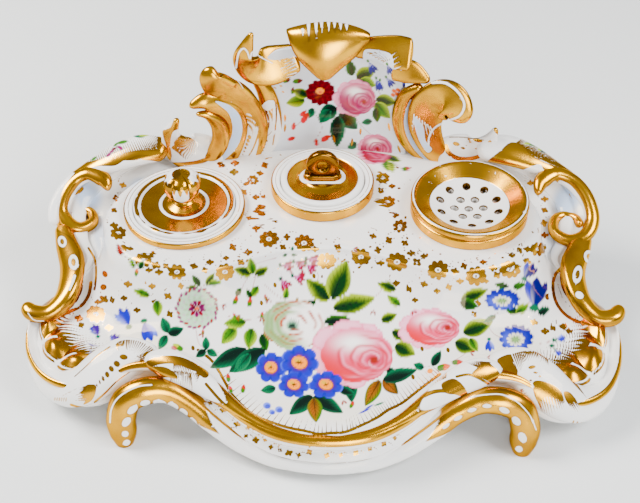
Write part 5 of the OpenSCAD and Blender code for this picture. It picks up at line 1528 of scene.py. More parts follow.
        for x, y, long, turn, hue in ((234, 305, 10, -70, e.RED), (249, 307, 10, -80, e.RED),
                (267, 301, 7, -110, e.RED), (261.5, 318, 7, -80, e.CORAL), (236, 318, 6, -120, e.CORAL),
                (203, 335, 6, -90, e.RED), (229, 382, 9, -100, e.RED), (242.5, 393, 9, -80, e.RED),
                (232, 393, 8, -110, e.CORAL), (350, 408, 8, -60, e.RED), (183, 350, 12, -150, e.LIME),
                (437, 369, 14, -15, e.ORANGE), (452, 363, 11, -8, e.RED), (136, 276, 8, -80, e.ORANGE)):
            f.bud(x, y, long, turn, hue)
        f.touch(174, 348, 3, 2.2, 20, e.ROSE_DEEP, 0.8)
        f.touch(430, 371, 3, 2.4, -15, e.YELLOW)
        f.pale_rose(293.7, 324.2, 32, 25.6)
        f.rose(357, 355, 36.5, 27.5, 374, 360)
        for x, y, rx, ry in ((271, 367.5, 15, 15), (299.6, 362.5, 19, 16.5), (294, 384.6, 15.5, 13),
                (326, 384.6, 17, 13.5)):
            f.auricula(x, y, rx, ry, 3 * x % 60)
        f.rose(433, 328, 27, 17.5, 447.5, 327.5, ruffles=0.9)
        f.trumpet(502.5, 299.7, 18, 11, -60)
        f.trumpet(516.3, 338, 17.5, 14, -45)
        for x, y, long, turn, hue, pale in ((534, 308, 31, -84, e.COBALT, e.BLUE),
                (524, 279, 19, -58, e.COBALT, e.BLUE), (489, 339, 13, 85, e.BLUE, e.BLUE_PALE),
                (555, 350, 8, 40, e.BLUE, e.VIOLET), (556, 339, 10, -8, e.BLUE, e.BLUE_PALE),
                (129, 327, 21, -118, e.BLUE, e.BLUE_PALE), (144, 321, 22, 68, e.BLUE, e.BLUE_PALE),
                (98, 337, 14, -110, e.VIOLET, e.BLUE), (114, 346, 13, -85, e.VIOLET, e.BLUE)):
            f.bell(x, y, long, turn, hue, pale)
        for x, y, r in ((267, 405.6, 4), (279, 409.5, 4), (272, 412, 3.2)):
            f.touch(x, y, r, r * 0.85, 0, e.BLUE_PALE)
            f.touch(x + 0.8, y + 0.8, 0.7 * r, 0.55 * r, 0, e.BLUE, 0.7)
        for x, y, long, wide, turn, hue in ((364.5, 411, 6, 1, -25, e.BLUE), (369, 407, 5, 0.9, -30, e.BLUE),
                (379, 404, 5, 1, -20, e.TEAL), (92, 345, 5, 0.8, 15, e.VIOLET), (91, 352, 4.5, 0.8, 55, e.VIOLET),
                (94, 354, 4, 0.8, 55, e.TEAL)):
            f.touch(x, y, long, wide, turn, hue)
        for x, y, turn in ((266.8, 298.6, 60), (261.5, 317, 80), (236, 316, 30), (203, 332.8, 120), (373.7, 310, 100),
                (353, 249, 10), (222, 305, 40), (413, 310, 70), (470, 352, 20), (487, 357, 10), (343, 400, 70),
                (226, 398, 40)):
            for swing in (-28, 28):
                f.petal(x, y, 5.5, 2.0, turn + swing, e.RUST, e.RUST, None)
        self.dots([(275, 285), (261.5, 303), (314, 276), (193, 348), (422, 349), (448, 350), (413, 377)], 2.6,
            turn=75)

    # -- corners
    def fans(self) -> None:
        """The corner shells: gilt flutes, white strokes at their roots, white loops and a gilt lip."""
        p, g = self.paint, self.paint.guide
        if "fan" not in g:
            return
        lobe = np.abs(np.sin(np.radians(180 * g["turn"] / PLAN.flute_angle)))
        inside = 14 * (7.95 + 0.35 * (lobe - 0.6) - g["level"])
        gate = np.where(g["level"] < 19, 9 * (g["fan"] - 0.4), -6)
        strokes = 1.8 * (np.sin(1.9 * g["turn"] + 0.6 * np.sin(0.7 * g["turn"])) + 2.4 * (g["level"] - 5.3) - 1.2)
        p.gild(EVERY, np.minimum.reduce([inside, gate, 14 * (g["level"] - 5.3), strokes]), tone=0.3)
        p.bare(EVERY, np.minimum.reduce([gate, 3.5 * (0.2 - lobe), 14 * (g["level"] - 6.4), inside - 0.4]))
        p.bare(EVERY, np.minimum(gate, 0.9 - np.abs(inside - 3.4)))
        p.darken(EVERY, np.minimum(gate, 0.9 - np.abs(inside - 0.4)), 0.8)

    def corner_left(self) -> None:
        """The left corner: a gold crescent in front of the shell and bands beside it."""
        p = self.paint
        self.gold([(91, 282.4), (88.9, 294.3), (82.1, 304.9), (69, 312.1), (54.2, 317.8), (39.3, 321), (28.1, 319.8)],
            3.4)
        self.gold([(88.5, 248), (95, 260), (96.2, 275), (94.5, 289.5)], 2.4)
        self.gold([(80.9, 280), (79.7, 290.7), (73.2, 302.6), (62.5, 311.1), (49.4, 315.6), (35.2, 318.2),
            (23.3, 315.6)], 5.0)
        p.comb([(81.5, 363.1), (86.3, 358.4), (91, 353.6)], [(98.1, 356), (102.9, 352.4), (106.4, 350.1)], 8, 0.7)

    def corner_right(self) -> None:
        """The right corner."""
        self.gold([(563.8, 265.3), (554.9, 275.2), (553, 289), (556.4, 302.8), (564.5, 313.8), (576.8, 321.2),
            (591.3, 323.5), (604.3, 319.6)], 3.2)
        self.gold([(574.5, 249.2), (565, 262.2), (562.2, 274.5), (564.2, 287.8), (572.2, 300), (584.4, 309.2),
            (600.5, 314.3), (614.3, 312)], 4.8)
        self.dots([(558.1, 284.4), (558.9, 287.8), (559.8, 291.1), (561, 293.9), (562.5, 297.3), (565.6, 302),
            (569.6, 306.2), (576, 310.1), (582.9, 313.5)], 1.1)

    def sides(self) -> None:
        """Gold touches in the recesses, which are painted pale blue as shade, and down the waists."""
        self.ovals(((78, 190.5, 6.5, 3.4, -28), (71.6, 198.2, 1.6, 1.1, 0), (574.4, 196.9, 6.5, 2.8, 35),
            (581.7, 211.5, 3.4, 6, 0), (585, 220.7, 0.9, 1.2, 0), (105, 274, 3.6, 2.6, 60), (103, 287, 3, 2, 80),
            (103.5, 287.1, 3.4, 3, 0)), 0.35)
        self.gold([(121.6, 153.7), (131.6, 148), (143.1, 146.6)], 0.8)

    def rim(self) -> None:
        """The mouldings of the rim: a gilt roll, a flowered channel, a brown line and a white lower roll."""
        g, p = self.paint.guide, self.paint
        if "level" not in g or g["level"][0] < 9:
            return
        outer = g["level"] < 18.5
        front = np.minimum(g["step"], 40 - g["step"])
        wave = 0.5 * np.sin(g["way"] * 0.21) + 0.3 * np.sin(g["way"] * 0.53)
        roll = np.minimum(g["run"] - g["run_9"] - 1.2 - wave, g["run_11"] - 0.4 - g["run"])
        p.gild(EVERY, np.where(outer, np.minimum(roll, 6 * (5.4 - front)), -6))
        back = np.minimum(g["run"] - g["run_10"] + 0.3, g["run_11"] - g["run"])
        p.gild(EVERY, np.where(outer, np.minimum(back, 6 * (front - 12.5)), -6))
        swell = np.minimum.reduce([5.5 * soft(6.0, 7.4, front), 5.5 * soft(10.4, 9.0, front), 5.5 + 0 * front])
        crescent = swell - np.abs(g["run"] - 0.5 * (g["run_10"] + g["run_12"]))
        p.gild(EVERY, np.where(outer, np.minimum(crescent, 8 * (10 - front)) - 0.8, -6), tone=0.2)
        line = 1.1 - np.abs(g["run"] - g["run_15"]) + 0.35 * wave
        p.gild(EVERY, np.where(outer, np.minimum(line, 6 * (4.6 - front)), -6), tone=0.7)
        seam = 0.8 - np.abs(g["run"] - g["run_9"] - 1.2 - wave)
        p.darken(EVERY, np.where(outer, np.minimum(seam, 6 * (5.4 - front)), -6), 0.7)

    def front(self) -> None:
        """The rim across the front: a scalloped gold line, a gilt roll, a flowered channel and a brown line."""
        p = self.paint
        self.gold([(198, 350), (213, 362), (226, 384), (231, 393), (246, 409), (258, 417), (275, 423.5), (290, 428),
            (306, 431), (318, 434), (330, 433), (345, 432), (362, 425), (378, 417), (388, 410), (402, 403),
            (420, 389), (440, 374)], 3.0, 3.0)
        self.dark([(213, 364), (231, 395), (258, 419), (290, 430), (318, 436), (345, 434), (378, 419), (420, 391)],
            1.0, 0.6)
        for x, y, r in ((201, 406, 3), (210, 403, 2.4), (223, 410, 3), (213, 415, 2.6), (237, 424, 3.2),
                (229, 431, 2.6), (256, 440, 3.6), (246, 436, 2.4), (248, 428, 2.2), (271, 447, 2.6), (265, 440, 2),
                (289, 453, 3.6), (280, 450, 2.2), (299, 455, 2.4), (309.5, 452, 3), (327, 455.5, 3), (341, 455, 2.4),
                (356, 453, 3), (370, 449, 2.4), (384, 444, 2.8), (395, 438, 2.2)):
            p.sprig(x, y, 1.3 * r, x * 13 % 180)
        for start, tip in (([(213, 356), (231, 391), (249, 412), (275, 423), (306, 431), (327, 434), (351, 429)],
                [(222, 350), (243, 382), (262, 400), (284, 411), (310, 418), (327, 420), (349, 416)]),
                ([(351, 429), (377, 417.5), (394, 408), (417.5, 391), (440, 373)],
                [(349, 416), (368, 404), (386, 394), (407, 378), (430, 364)])):
            p.comb(start, tip, 30, 0.75)

    # -- crest
    def crest_panel(self) -> None:
        """The panel: a pale blue painted shade over the whole of it, under the posy."""
        p = self.paint
        # Painted shade: the whole panel is washed a third of the way to pale blue.
        p.colour[:] = mix(Enamel.GLAZE.light, Enamel.SHADE_BLUE.light, 0.35)
        self.posy()

    def posy(self) -> None:
        """A dahlia and roses on the panel, whose lowest petals run on over the deck."""
        f, e = self.flowers, Enamel
        for row in (((316, 115), (322, 126), (318, 136)), ((306, 110), (304, 118), (296, 126)),
                ((378, 90), (384, 100), (390, 106)), ((352, 112), (360, 124), (370, 134)),
                ((388, 156), (396, 164), (402, 169))):
            f.stem(row)
        for x, y, long, wide, turn, hues in ((305, 100, 16, 9, 170, SPRING), (308, 96, 14, 8, -160, FRESH),
                (352, 76, 14, 8, -100, MOSSY), (356, 78, 18, 11, -25, FRESH), (360, 80, 14, 9, 20, SPRING),
                (376, 99, 17, 10, 10, FRESH), (375, 103, 18, 10, 45, SPRING), (376, 108, 12, 7, 85, MOSSY),
                (337, 108, 17, 12, 155, COOL), (340, 112, 20, 13, 45, COOL), (338, 116, 26, 12, 92, COOL),
                (330, 110, 14, 9, 130, SEA), (313, 108, 9, 6, 110, SEA), (372, 121, 9, 5, 170, SEA),
                (357, 143, 9, 6, 150, SEA), (384, 158, 12, 7, 70, SPRING), (387, 156, 12, 6, 20, FRESH),
                (391, 162, 9, 6, 80, (e.LIME, e.LIME))):
            f.leaf(x, y, 1.2 * long, 1.3 * wide, turn, *hues)
        f.star(320.6, 92.5, 15.5, 12, 5, e.MAROON, e.MAROON, None, e.CRIMSON, 0.5, 0.86)
        f.star(321, 92, 10, 9, 20, e.MAROON, e.MAROON, None, e.CRIMSON, 0.5, 0.86)
        f.touch(320, 91, 4, 3.4, 0, e.YELLOW)
        f.touch(320.4, 92.4, 2, 1.4, 0, e.ORANGE)
        f.rose(357.4, 98.9, 18.5, 16, 364, 102, e.PURPLE, 0.9, e.PURPLE)
        f.rose(376.4, 149, 16, 14, 377.5, 149, e.CRIMSON, 0.8, e.PURPLE)
        self.bells()
        for x, y in ((394, 91), (397, 94), (393, 95), (398, 90)):
            f.touch(x, y, 2.4, 1.8, 30, e.ORANGE)
        for x, y, turn, long in ((302, 123, -60, 12), (293, 130, -80, 8), (288, 140, -20, 8), (321, 141, -30, 11),
                (317, 146, -100, 8), (300, 116, -40, 8)):
            f.bud(x, y, long, turn, e.RED, e.CORAL)
        for x, y, turn, long in ((283, 82, -20, 8), (293, 82, -10, 10), (292, 94, -80, 7), (402, 169.6, -10, 9)):
            f.bud(x, y, long, turn, e.MAROON if x < 350 else e.ROSE_DEEP, e.LEAF)
        self.ovals(((x, y, 4.2, 1.2, turn) for x, y, turn in ((360.5, 131, 95), (389, 127, 80), (399, 149, 70),
            (352, 142, 95), (285, 118, 90), (285, 128, 95), (334, 139, 80))), 0.4)
        self.ovals(((x, y, 1.6, 0.8, 20) for x, y in ((272, 80), (276, 83), (281, 86), (283, 92), (275, 88),
            (287, 160), (281, 155))), 0.3)

    def bells(self) -> None:
        """Bluebells at the right of the posy."""
        e = Enamel
        for x, y, turn, long in ((368, 61, 58, 14), (387, 64, 66, 11), (376, 78, 70, 13), (386, 77, 52, 12),
                (402, 80, 60, 8), (380, 80, 92, 11)):
            for swing in (-14, 2, 17):
                self.flowers.petal(x, y, long, 0.2 * long, turn + swing, e.BLUE, e.COBALT, None, 0.75)
            self.flowers.touch(x, y, 1.6, 1.2, turn, e.LEAF)

    def crest_shell(self) -> None:
        """White teeth along the top of the gilt shell, and a brown line under its lip."""
        for (x, top, low) in ((303, 30, 36), (309, 24, 41), (316.5, 23, 40), (322, 22, 33), (329, 21, 33),
                (335, 21, 32), (341, 23, 32), (347, 25, 31)):
            self.paint.bare(*self.paint.line([(x - 0.5, top), (x, low)], 3.4, 0.3))
        self.dark([(286.9, 47.4), (299.2, 62), (312.6, 77.6), (326.1, 85.5), (341.7, 77.6), (355.1, 59.7),
            (364.1, 41.8)], 1.4, 0.5)
        self.dark([(299.2, 32.9), (321.6, 28.4), (343.9, 30.7), (364.1, 39.6)], 1.2, 0.4)

    def crest_leaf_left(self) -> None:
        """The gilt ear, crossed by a white zigzag, with gold strokes on white where it joins the panel."""
        self.paint.comb([(292, 50), (294, 58), (296, 66), (296, 76)], [(278, 60), (280, 66), (282, 72), (284, 78)], 9,
            1.2, self.paint.bare)
        self.paint.comb([(242.2, 66.4), (247.8, 75.4), (254.5, 79.9), (263.4, 82.1)],
            [(276.8, 63.1), (281.3, 67.6), (283.6, 74.3), (276.8, 82.1)], 15, 1.1)
        self.white([(236.1, 67.6), (238.4, 54.1), (243.3, 48.6), (247.3, 51.9), (250, 58.6), (252.7, 52.1),
            (261.2, 57.5), (272.4, 63.1)], 2.0, 1.2)
        self.dark([(236.1, 67.6), (238.8, 75.4), (248.2, 80.3), (261.2, 82.1)], 1.2, 0.6)

    def crest_leaf_right(self) -> None:
        """The right leaf: gold above and at its end, white teeth between."""
        middle = [(364, 51), (373, 49.5), (388.7, 53), (393, 59.7), (393, 70.9), (385.3, 73.6), (373, 69.8),
            (364.1, 63.1)]
        self.clear(middle)
        # Painted shade: the bare middle of the leaf is washed pale blue.
        self.shade_patch(middle, 0.35)
        for tooth in (((385.3, 60.9), (396.5, 51.9)), ((385.3, 64.7), (398.7, 56.4)), ((385.3, 68.7), (400.3, 61.5)),
                ((388.7, 71.4), (402.1, 66)), ((390.9, 74.3), (401.7, 70))):
            self.paint.bare(*self.paint.line(tooth, 2.6, 0.3))
        self.paint.comb([(367.4, 53), (375.3, 57.5), (383.1, 62)], [(379.7, 51.9), (386.4, 56.4), (390.9, 59.7)], 7,
            0.6)
        self.bells()

    def crest_border_left(self) -> None:
        """Gold at the head of the left border, then gold strokes on white."""
        p = self.paint
        self.clear([(261.2, 106.7), (276.8, 104.5), (281.3, 158.2), (254.5, 162.6), (258.9, 140.3)])
        p.comb([(260.1, 104.5), (263.4, 108.9), (267.9, 111.2), (272.4, 108.9)],
            [(265.7, 140.3), (266.8, 138), (269.7, 135.8), (272.8, 131.3)], 9, 1.0)
        self.gold([(271.9, 91.1), (275.1, 100), (276.4, 113.4), (275.5, 126.8), (272.8, 144.7)], 1.5)
        self.dots([(266.8, 140.7), (265, 144.1), (264.1, 147.4), (263, 150.6), (261.6, 154.1), (260.3, 157.3)], 1.4,
            0.5, 60)

    def acanthus_outer_left(self) -> None:
        """The tallest left leaf: gilt to its middle, then white with gold strokes, dots and edges."""
        p = self.paint
        self.clear([(230.3, 100), (238.8, 115.7), (248.2, 113.4), (254.5, 120.1), (258.5, 131.3), (257.2, 149.2),
            (248.2, 169.3), (220.9, 171.6), (232.1, 149.2), (241.1, 131.3)])
        p.comb([(242.2, 111.2), (246.6, 114.5), (251.1, 116.8), (255.6, 115.7)],
            [(244.4, 133.6), (248.2, 131.3), (252.7, 135.8), (256.3, 131.3)], 9, 1.2)
        self.gold([(258.9, 88.8), (262.1, 104.5), (261.2, 120.1), (257.8, 135.8), (252.7, 149.2), (244.4, 162.6)],
            3.6, 1.0)
        self.gold([(238.8, 111.2), (243.7, 122.4), (243.3, 135.8), (237.7, 149.2), (229.9, 158.2)], 1.4, 0.8)
        self.dots([(249.6, 137.1), (248.2, 140.7), (246.9, 144.3), (245.5, 147.9), (244.2, 151.4), (242.8, 154.6)],
            2.4, 0.9, 60)
        self.white([(216.9, 66.9), (229.9, 73.6), (238.8, 82.1), (243.3, 88.8)], 0.7)
        self.dark([(205.3, 91.1), (223.2, 93.3), (238.8, 104.5), (243.7, 117.9)], 1.1, 0.6)

    def acanthus_crescent_left(self) -> None:
        """A channel between gold edges, painted pale blue as shade."""
        self.shade_patch([(215.3, 100.9), (229.9, 105.6), (239.9, 116.1), (242.2, 131.3), (237, 147), (223.6, 160.4),
            (209.7, 169.3), (218.7, 153.7), (229.9, 140.3), (232.6, 126.8), (228.7, 113.4), (219.8, 105.6)])
        self.gold([(239.9, 113.4), (243.7, 126.8), (240.6, 142.5), (229.9, 156.4)], 1.2)

    def acanthus_curl_left(self) -> None:
        """A thin white crescent inside the curl."""
        self.white([(208.8, 134.7), (209.7, 141.4), (207.1, 148.1), (201.9, 153.7)], 1.6, 0.5)
        self.dark([(201.9, 116.8), (213.1, 120.1), (222, 126.8), (223.6, 135.8)], 1.3, 0.7)

    def crest_border_right(self) -> None:
        """A gold ridge, then the channel behind it painted pale blue as shade."""
        self.shade_patch([(411.1, 98.9), (405.5, 111.2), (403.9, 124.6), (408.4, 140.3), (420, 155.9), (437.9, 167.1),
            (446.8, 160.4), (428.9, 153.7), (417.8, 140.3), (412.2, 122.4), (413.3, 108.9)])
        self.dark([(402.6, 104.5), (399.9, 120.1), (403.9, 140.3), (415.5, 158.2), (433.4, 169.3)], 1.2, 0.6)

    def crest_scroll_right(self) -> None:
        """The gilt bowl with its white rim line, and white teeth below it."""
        p = self.paint
        self.white([(432.3, 82.6), (445.7, 83.2), (458, 92.2), (464.3, 104.5), (459.8, 115.7), (447.3, 121.2),
            (434.5, 128), (428.9, 138), (428.9, 149.2)], 2.8, 1.6)
        for k in range(7):
            x, y = 414.05 + 2.684 * k, 114.54 + 2.013 * k
            p.bare(*p.line([(x, y), (x - 1.5 + 1.1 * k, y + 17 - k)], 1.5, 0.3))
        # Painted shade: a pale blue patch in the hollow below the teeth.
        at, depth = p.patch(looped([(412.2, 120.1), (417.8, 140.3), (426.7, 153.7), (433.4, 149.2), (426.7, 140.3),
            (424.5, 126.8), (415.5, 115.7)]))
        p.lay(at, depth - 1.2, Enamel.SHADE_BLUE.light, 0.8)
        self.dark([(448, 122.4), (447.3, 140.3), (444.6, 153.7)], 1.6, 0.5)

    # -- leaves round the deck
    def boat_leaf_left(self) -> None:
        """White with brown-gold strokes, a gilt edge below and a gilt tip."""
        p = self.paint
        self.fill([(162.4, 131.6), (170.3, 127.6), (175, 117.4), (180.8, 115.8), (183.7, 122.1), (180.3, 128.4),
            (172.9, 132.1), (170.3, 144.7), (171.8, 156.6), (167.6, 164.5), (163.9, 161.8), (167.1, 150)], 0.3)
        p.comb([(171.8, 147.4), (176.8, 139.5), (183.4, 133.7)], [(186.1, 160), (196.6, 153.9), (199.2, 143.4)], 20,
            1.1)
        self.gold([(172.9, 164.7), (186.1, 164.2), (199.2, 162.1), (212.4, 156.3), (222.9, 147.4)], 4.6)
        self.white([(210.3, 128.4), (210.8, 139.5), (206.6, 150)], 2.0, 1.0)

    def boat_leaf_right(self) -> None:
        """White with gold specks, a gilt lower edge and a gilt tip."""
        self.gold([(445.8, 146.3), (449.5, 153.6), (458, 158.3), (470.2, 158.7), (482.4, 155.1), (493.4, 150)], 5.0,
            3.4)
        self.gold([(449.5, 137.2), (461.7, 137.2), (473.9, 138.8), (483.6, 140.2)], 0.9)
        self.fill([(494.6, 127.4), (500.1, 126.2), (508, 130.5), (515.3, 136.6), (510.4, 140.2), (503.1, 139),
            (498.3, 135.3), (494, 131.1)], 0.2)
        self.ovals(((477.5, 140.2, 5, 2, 15), (456.2, 143.9, 3.6, 2, 15), (462.9, 148.1, 2.4, 1.2, 15),
            (470.2, 142, 1.4, 1, 15), (482.4, 146.3, 3, 1.2, 15), (489.7, 142.7, 2, 2.6, 15),
            (466.6, 145.1, 1, 1, 15), (476.3, 148.8, 1.6, 0.8, 15), (469, 139.6, 1.6, 0.9, 15)), 0.4)

    def shoulder_leaf_left(self) -> None:
        """The left shoulder: brown strokes rise from a gilt lower edge; small flowers along the back."""
        f, e, p = self.flowers, Enamel, self.paint
        self.fill([(159, 132.5), (163.2, 133.8), (168, 143), (171.2, 153), (170.6, 162), (166, 166), (162, 162),
            (162, 155), (157.5, 148)], 0.4)
        self.fill([(119, 160), (130, 155), (145, 152), (157, 153), (162, 157), (163, 162), (145, 160), (130, 160.5)])
        self.gold([(75, 170), (85, 166), (97, 163), (106, 163), (115, 162.5), (124, 157), (135, 154), (149, 153),
            (163, 155), (170, 163)], 6.0)
        self.dark([(75, 172), (97, 166), (115, 165), (135, 157), (149, 156), (163, 159)], 1.2, 0.6)
        p.comb([(84, 167), (97, 162), (110, 161), (120, 157), (132, 153), (145, 151), (156, 151), (163, 150)],
            [(87, 160), (95, 153), (104, 147), (114, 143), (126, 139), (138, 136), (148, 134), (156, 132)], 40, 1.2)
        for x, y, long, wide, turn, hue in ((108.5, 155, 3.2, 1.6, -40, e.PURPLE),
                (111.8, 151.5, 2.6, 1.4, -30, e.PURPLE), (114.2, 148.8, 2.6, 1.3, -20, e.MAROON),
                (119.5, 147.2, 3, 1.4, 10, e.PURPLE), (121.2, 148.8, 2.2, 1.3, 30, e.PURPLE),
                (122.5, 142.2, 5.5, 1.8, -12, e.LEAF), (116, 144.5, 3, 1.2, -40, e.LEAF),
                (139, 136.2, 5.5, 1.6, 5, e.TEAL), (144, 135, 5, 1.5, -5, e.LIME),
                (94, 158.7, 3.6, 1.3, -35, e.LEAF)):
            f.touch(x, y, long, wide, turn, hue)

    def shoulder_leaf_right(self) -> None:
        """The right shoulder."""
        f, e, p = self.flowers, Enamel, self.paint
        self.fill([(485.9, 163.6), (499.5, 151.4), (510.7, 142.4), (522.2, 145.4), (531.3, 154.5), (543.4, 162),
            (561.6, 168.4), (575.2, 176.3), (561.6, 179.3), (550.1, 174.1), (540.4, 164.2), (525.3, 169),
            (510.1, 172.6), (498, 168.4)], 0.1)
        self.fill([(540.4, 162), (549.5, 167.2), (561.6, 169.6), (568.2, 176.3), (558.6, 181.1), (553.7, 190.8),
            (548.3, 193.2), (543.7, 186.3), (545.8, 175.7)], 0.15)
        self.dark([(485.9, 162.3), (499.5, 150.2), (510.7, 141.8)], 1.2, 0.9)
        p.comb([(513.2, 145.4), (525.3, 149.9), (537.4, 157.5), (552.5, 164.2), (567.6, 170.2)],
            [(525.3, 135.7), (540.4, 142.4), (558.6, 152.1), (573.7, 162), (588.8, 175.7)], 34, 1.2)
        for x, y, long, wide, turn, hue in ((532.4, 144.5, 7, 1.6, 12, e.LEAF), (527.5, 143.3, 4, 1.4, -10, e.LIME),
                (543.3, 150.2, 4.2, 2.6, 20, e.LEAF_DARK), (540.3, 148.8, 3, 1.8, -20, e.LIME),
                (551.9, 151.2, 6, 1.8, 35, e.CORAL), (556.1, 154.2, 4, 1.5, 45, e.RED),
                (561, 159.1, 2.4, 1.1, 50, e.LEAF)):
            f.touch(x, y, long, wide, turn, hue)

    # -- scrolls and legs
    def corner_scroll_left(self) -> None:
        """The left corner scroll: fine gold strokes at its head, a row of beads and a gold tear."""
        p = self.paint
        p.comb([(116, 344.7), (119.5, 341.8), (127.8, 340), (139.7, 341.8), (151.6, 347.7), (156.9, 356),
            (154, 363.1)], [(118.3, 351.3), (122.5, 348.3), (127.8, 350.1), (133.8, 353), (137.3, 358.4),
            (135, 363.1), (135, 368.5)], 34, 0.95)
        p.comb([(151.6, 351.3), (157.5, 357.2), (151.6, 363.1)], [(135, 357.2), (133.8, 363.1), (135, 367.9)], 7, 2.0)
        self.ovals(((123.7, 357, 4.2, 2.8, 10), (116.9, 363.8, 3.6, 2.9, 40), (111.4, 368.8, 3.3, 2.4, 60),
            (107.2, 374.5, 3.2, 2.2, 70), (103.1, 378.6, 2.8, 1.5, 70), (99.8, 382.1, 2.4, 0.9, 75),
            (96.9, 385.2, 2.0, 0.7, 75)), 0.2)
        self.fill([(96, 385.5), (95.3, 394), (91, 401.1), (83.3, 404.7), (86.3, 398.8), (81.5, 398.8), (84.5, 394.6),
            (79.7, 394), (85.1, 389.9), (86.3, 385.1), (91, 384.3)], 0.2)
        p.comb([(86.3, 386.3), (85.1, 390.5), (84.5, 395.2), (85.1, 400)],
            [(76.8, 390.5), (75.6, 393.4), (75.6, 397), (74.4, 400.5)], 7, 1.3)
        self.gold([(62.5, 395.8), (72, 391), (83.9, 386.3)], 0.8)
        self.gold([(70.8, 404.7), (81.5, 407.1), (96.9, 405.3)], 2.6, 1.0)
        for k in range(6):
            x = 55.14 + 2.257 * k
            self.gold([(x, 397.8), (x - 0.5, 400.2 + 0.24 * k)], 1.1)
        self.gold([(94.8, 402.1), (105.3, 392.8), (117.1, 381), (131.4, 370.5)], 2.4, 1.2)
        self.gold([(110, 346.7), (98.1, 355.1), (86.3, 366.1), (74.4, 376.8)], 1.6, 1.0)
        p.comb([(105.3, 398.8), (103.5, 405.9), (105.3, 413), (107.6, 420.1)],
            [(110, 394), (108.8, 403.5), (108.8, 410.6), (109.4, 416.6)], 9, 1.6)

    def corner_scroll_right(self) -> None:
        """The right corner scroll: gold strokes at its head and two gold tears that end in strokes."""
        p = self.paint
        self.fill([(497.2, 359.4), (510.2, 354.1), (513.2, 362.5), (517.8, 371.7), (514.8, 377.8), (507.1, 374.8),
            (501, 367.1)], 0.2)
        p.comb([(502.5, 357.9), (514.8, 353.6), (527, 351.3), (540.8, 352.6), (546.9, 356.4)],
            [(516.3, 377.8), (520.9, 371.7), (525.5, 362.5), (536.2, 361), (548.5, 365.6)], 24, 1.3)
        self.ovals(((531.9, 367.1, 3.8, 1.8, -10), (535.6, 372.6, 2.6, 1.1, 10), (540, 376.3, 1.6, 1, 0),
            (530.8, 380.3, 1.6, 1, 0)), 0.2)
        self.fill([(532.8, 382.4), (542.3, 380.9), (556.1, 386.7), (562.5, 394.7), (556.1, 398), (545.4, 396.5),
            (539.3, 402.3), (534.7, 396.2)], 0.2)
        p.comb([(536.2, 396.2), (545.4, 396.2), (556.1, 396.2), (561.5, 394.7)],
            [(542.3, 413), (550, 416.1), (560.7, 411.5), (565.3, 403.9)], 13, 1.6)
        self.fill([(563.8, 391.6), (569.9, 392.4), (575.3, 399.3), (569.9, 401.6), (565.3, 399.3)], 0.2)
        p.comb([(566.1, 399.3), (570.7, 400.8), (574.5, 398.5)], [(569.9, 406.9), (577.5, 413), (580.6, 408.5)], 6,
            1.4)
        p.comb([(546.9, 354.1), (557.6, 364), (568.4, 374.8), (577.5, 385.5)],
            [(554.6, 364), (565.3, 374.8), (577.5, 388.5), (586.7, 397.7)], 22, 0.9)
        for k in range(6):
            x, y = 573.72 + 3.828 * k, 422.24 + 0.919 * k
            self.gold([(x, y - 1.2), (x - 1.4, y + 1.6)], 1.4)
        self.gold([(543.9, 417.6), (553, 423.8), (568.4, 429.9)], 3.0, 1.0)
        p.comb([(520.9, 390.1), (527, 399.3), (533.1, 410)], [(524, 388.5), (530.8, 397.7), (537.7, 408.5)], 9, 1.4)

    def ridge(self) -> None:
        """Towards the middle of the front, the rim leaf narrows to a gilt ridge with a brown edge."""
        p, g = self.paint, self.paint.guide
        start = 34 * (g["share"] - 0.4) - 5 * np.abs(g["front"] - 0.3)
        p.gild(EVERY, np.minimum(start, 5 * (g["front"] - 0.05)))
        p.darken(EVERY, np.minimum(start, 9 * (0.45 - np.abs(g["front"] - 0.2))), 0.7)

    def sweep(self) -> None:
        """Towards the middle of the front, the leg's moulding is white between thin gold edges; lower down the gold
        is painted brown as shade.
        """
        p, g = self.paint, self.paint.guide
        middle = 34 * (0.235 - g["share"]) + 3 * np.abs(g["across"])
        edge = np.abs(np.abs(g["across"]) - 0.86) - 0.07
        p.bare(EVERY, np.minimum(middle, 14 * edge))
        # Painted shade: the gold browns towards the floor, below 24 mm.
        p.tone = np.maximum(p.tone, 0.6 * soft(24.0, 8.0, p.points[:, 2]))

    def front_scroll_leg_left(self) -> None:
        """The left leg: a white line and a row of white ovals along its face."""
        self.sweep()
        self.white([(110, 422.5), (111, 410.6), (116, 400.2), (125.5, 392.2), (138.5, 386.3), (151.6, 384.8)], 1.6)
        self.ovals(((126.6, 442.7, 3.6, 2.9, -20), (125.2, 433.9, 3.4, 3.0, 0), (126.4, 422, 5.4, 3.5, -50),
            (132.6, 409.7, 6, 3.2, -38), (145.2, 403, 5, 2.8, -12), (159.9, 403, 6.8, 3.1, 10),
            (173, 405.9, 5.8, 3, 25), (183.6, 412.1, 4.8, 2.7, 40), (193.1, 421.3, 4.9, 2.5, 45),
            (201.5, 429.9, 4.9, 2.2, 50), (208, 437, 4.5, 1.9, 42), (216, 443, 4.2, 1.6, 38), (225, 449, 4, 1.3, 33)))

    def front_scroll_leg_right(self) -> None:
        """The right leg."""
        self.sweep()
        self.white([(468.8, 397.7), (484.1, 394.7), (502.5, 394.7), (517.8, 402.3), (530.1, 416.1), (536.2, 429.9)],
            1.4)
        self.ovals(((519, 449, 3.6, 3, 20), (522.4, 437.5, 5.6, 3.8, 60), (516.3, 421, 5.2, 3.5, 45),
            (504.3, 410.3, 5.4, 2.8, 22), (487, 406, 4.6, 2, 0), (472, 410, 4.6, 2, -15), (458, 418, 4.6, 2, -28),
            (446, 426, 4.4, 1.8, -38)))

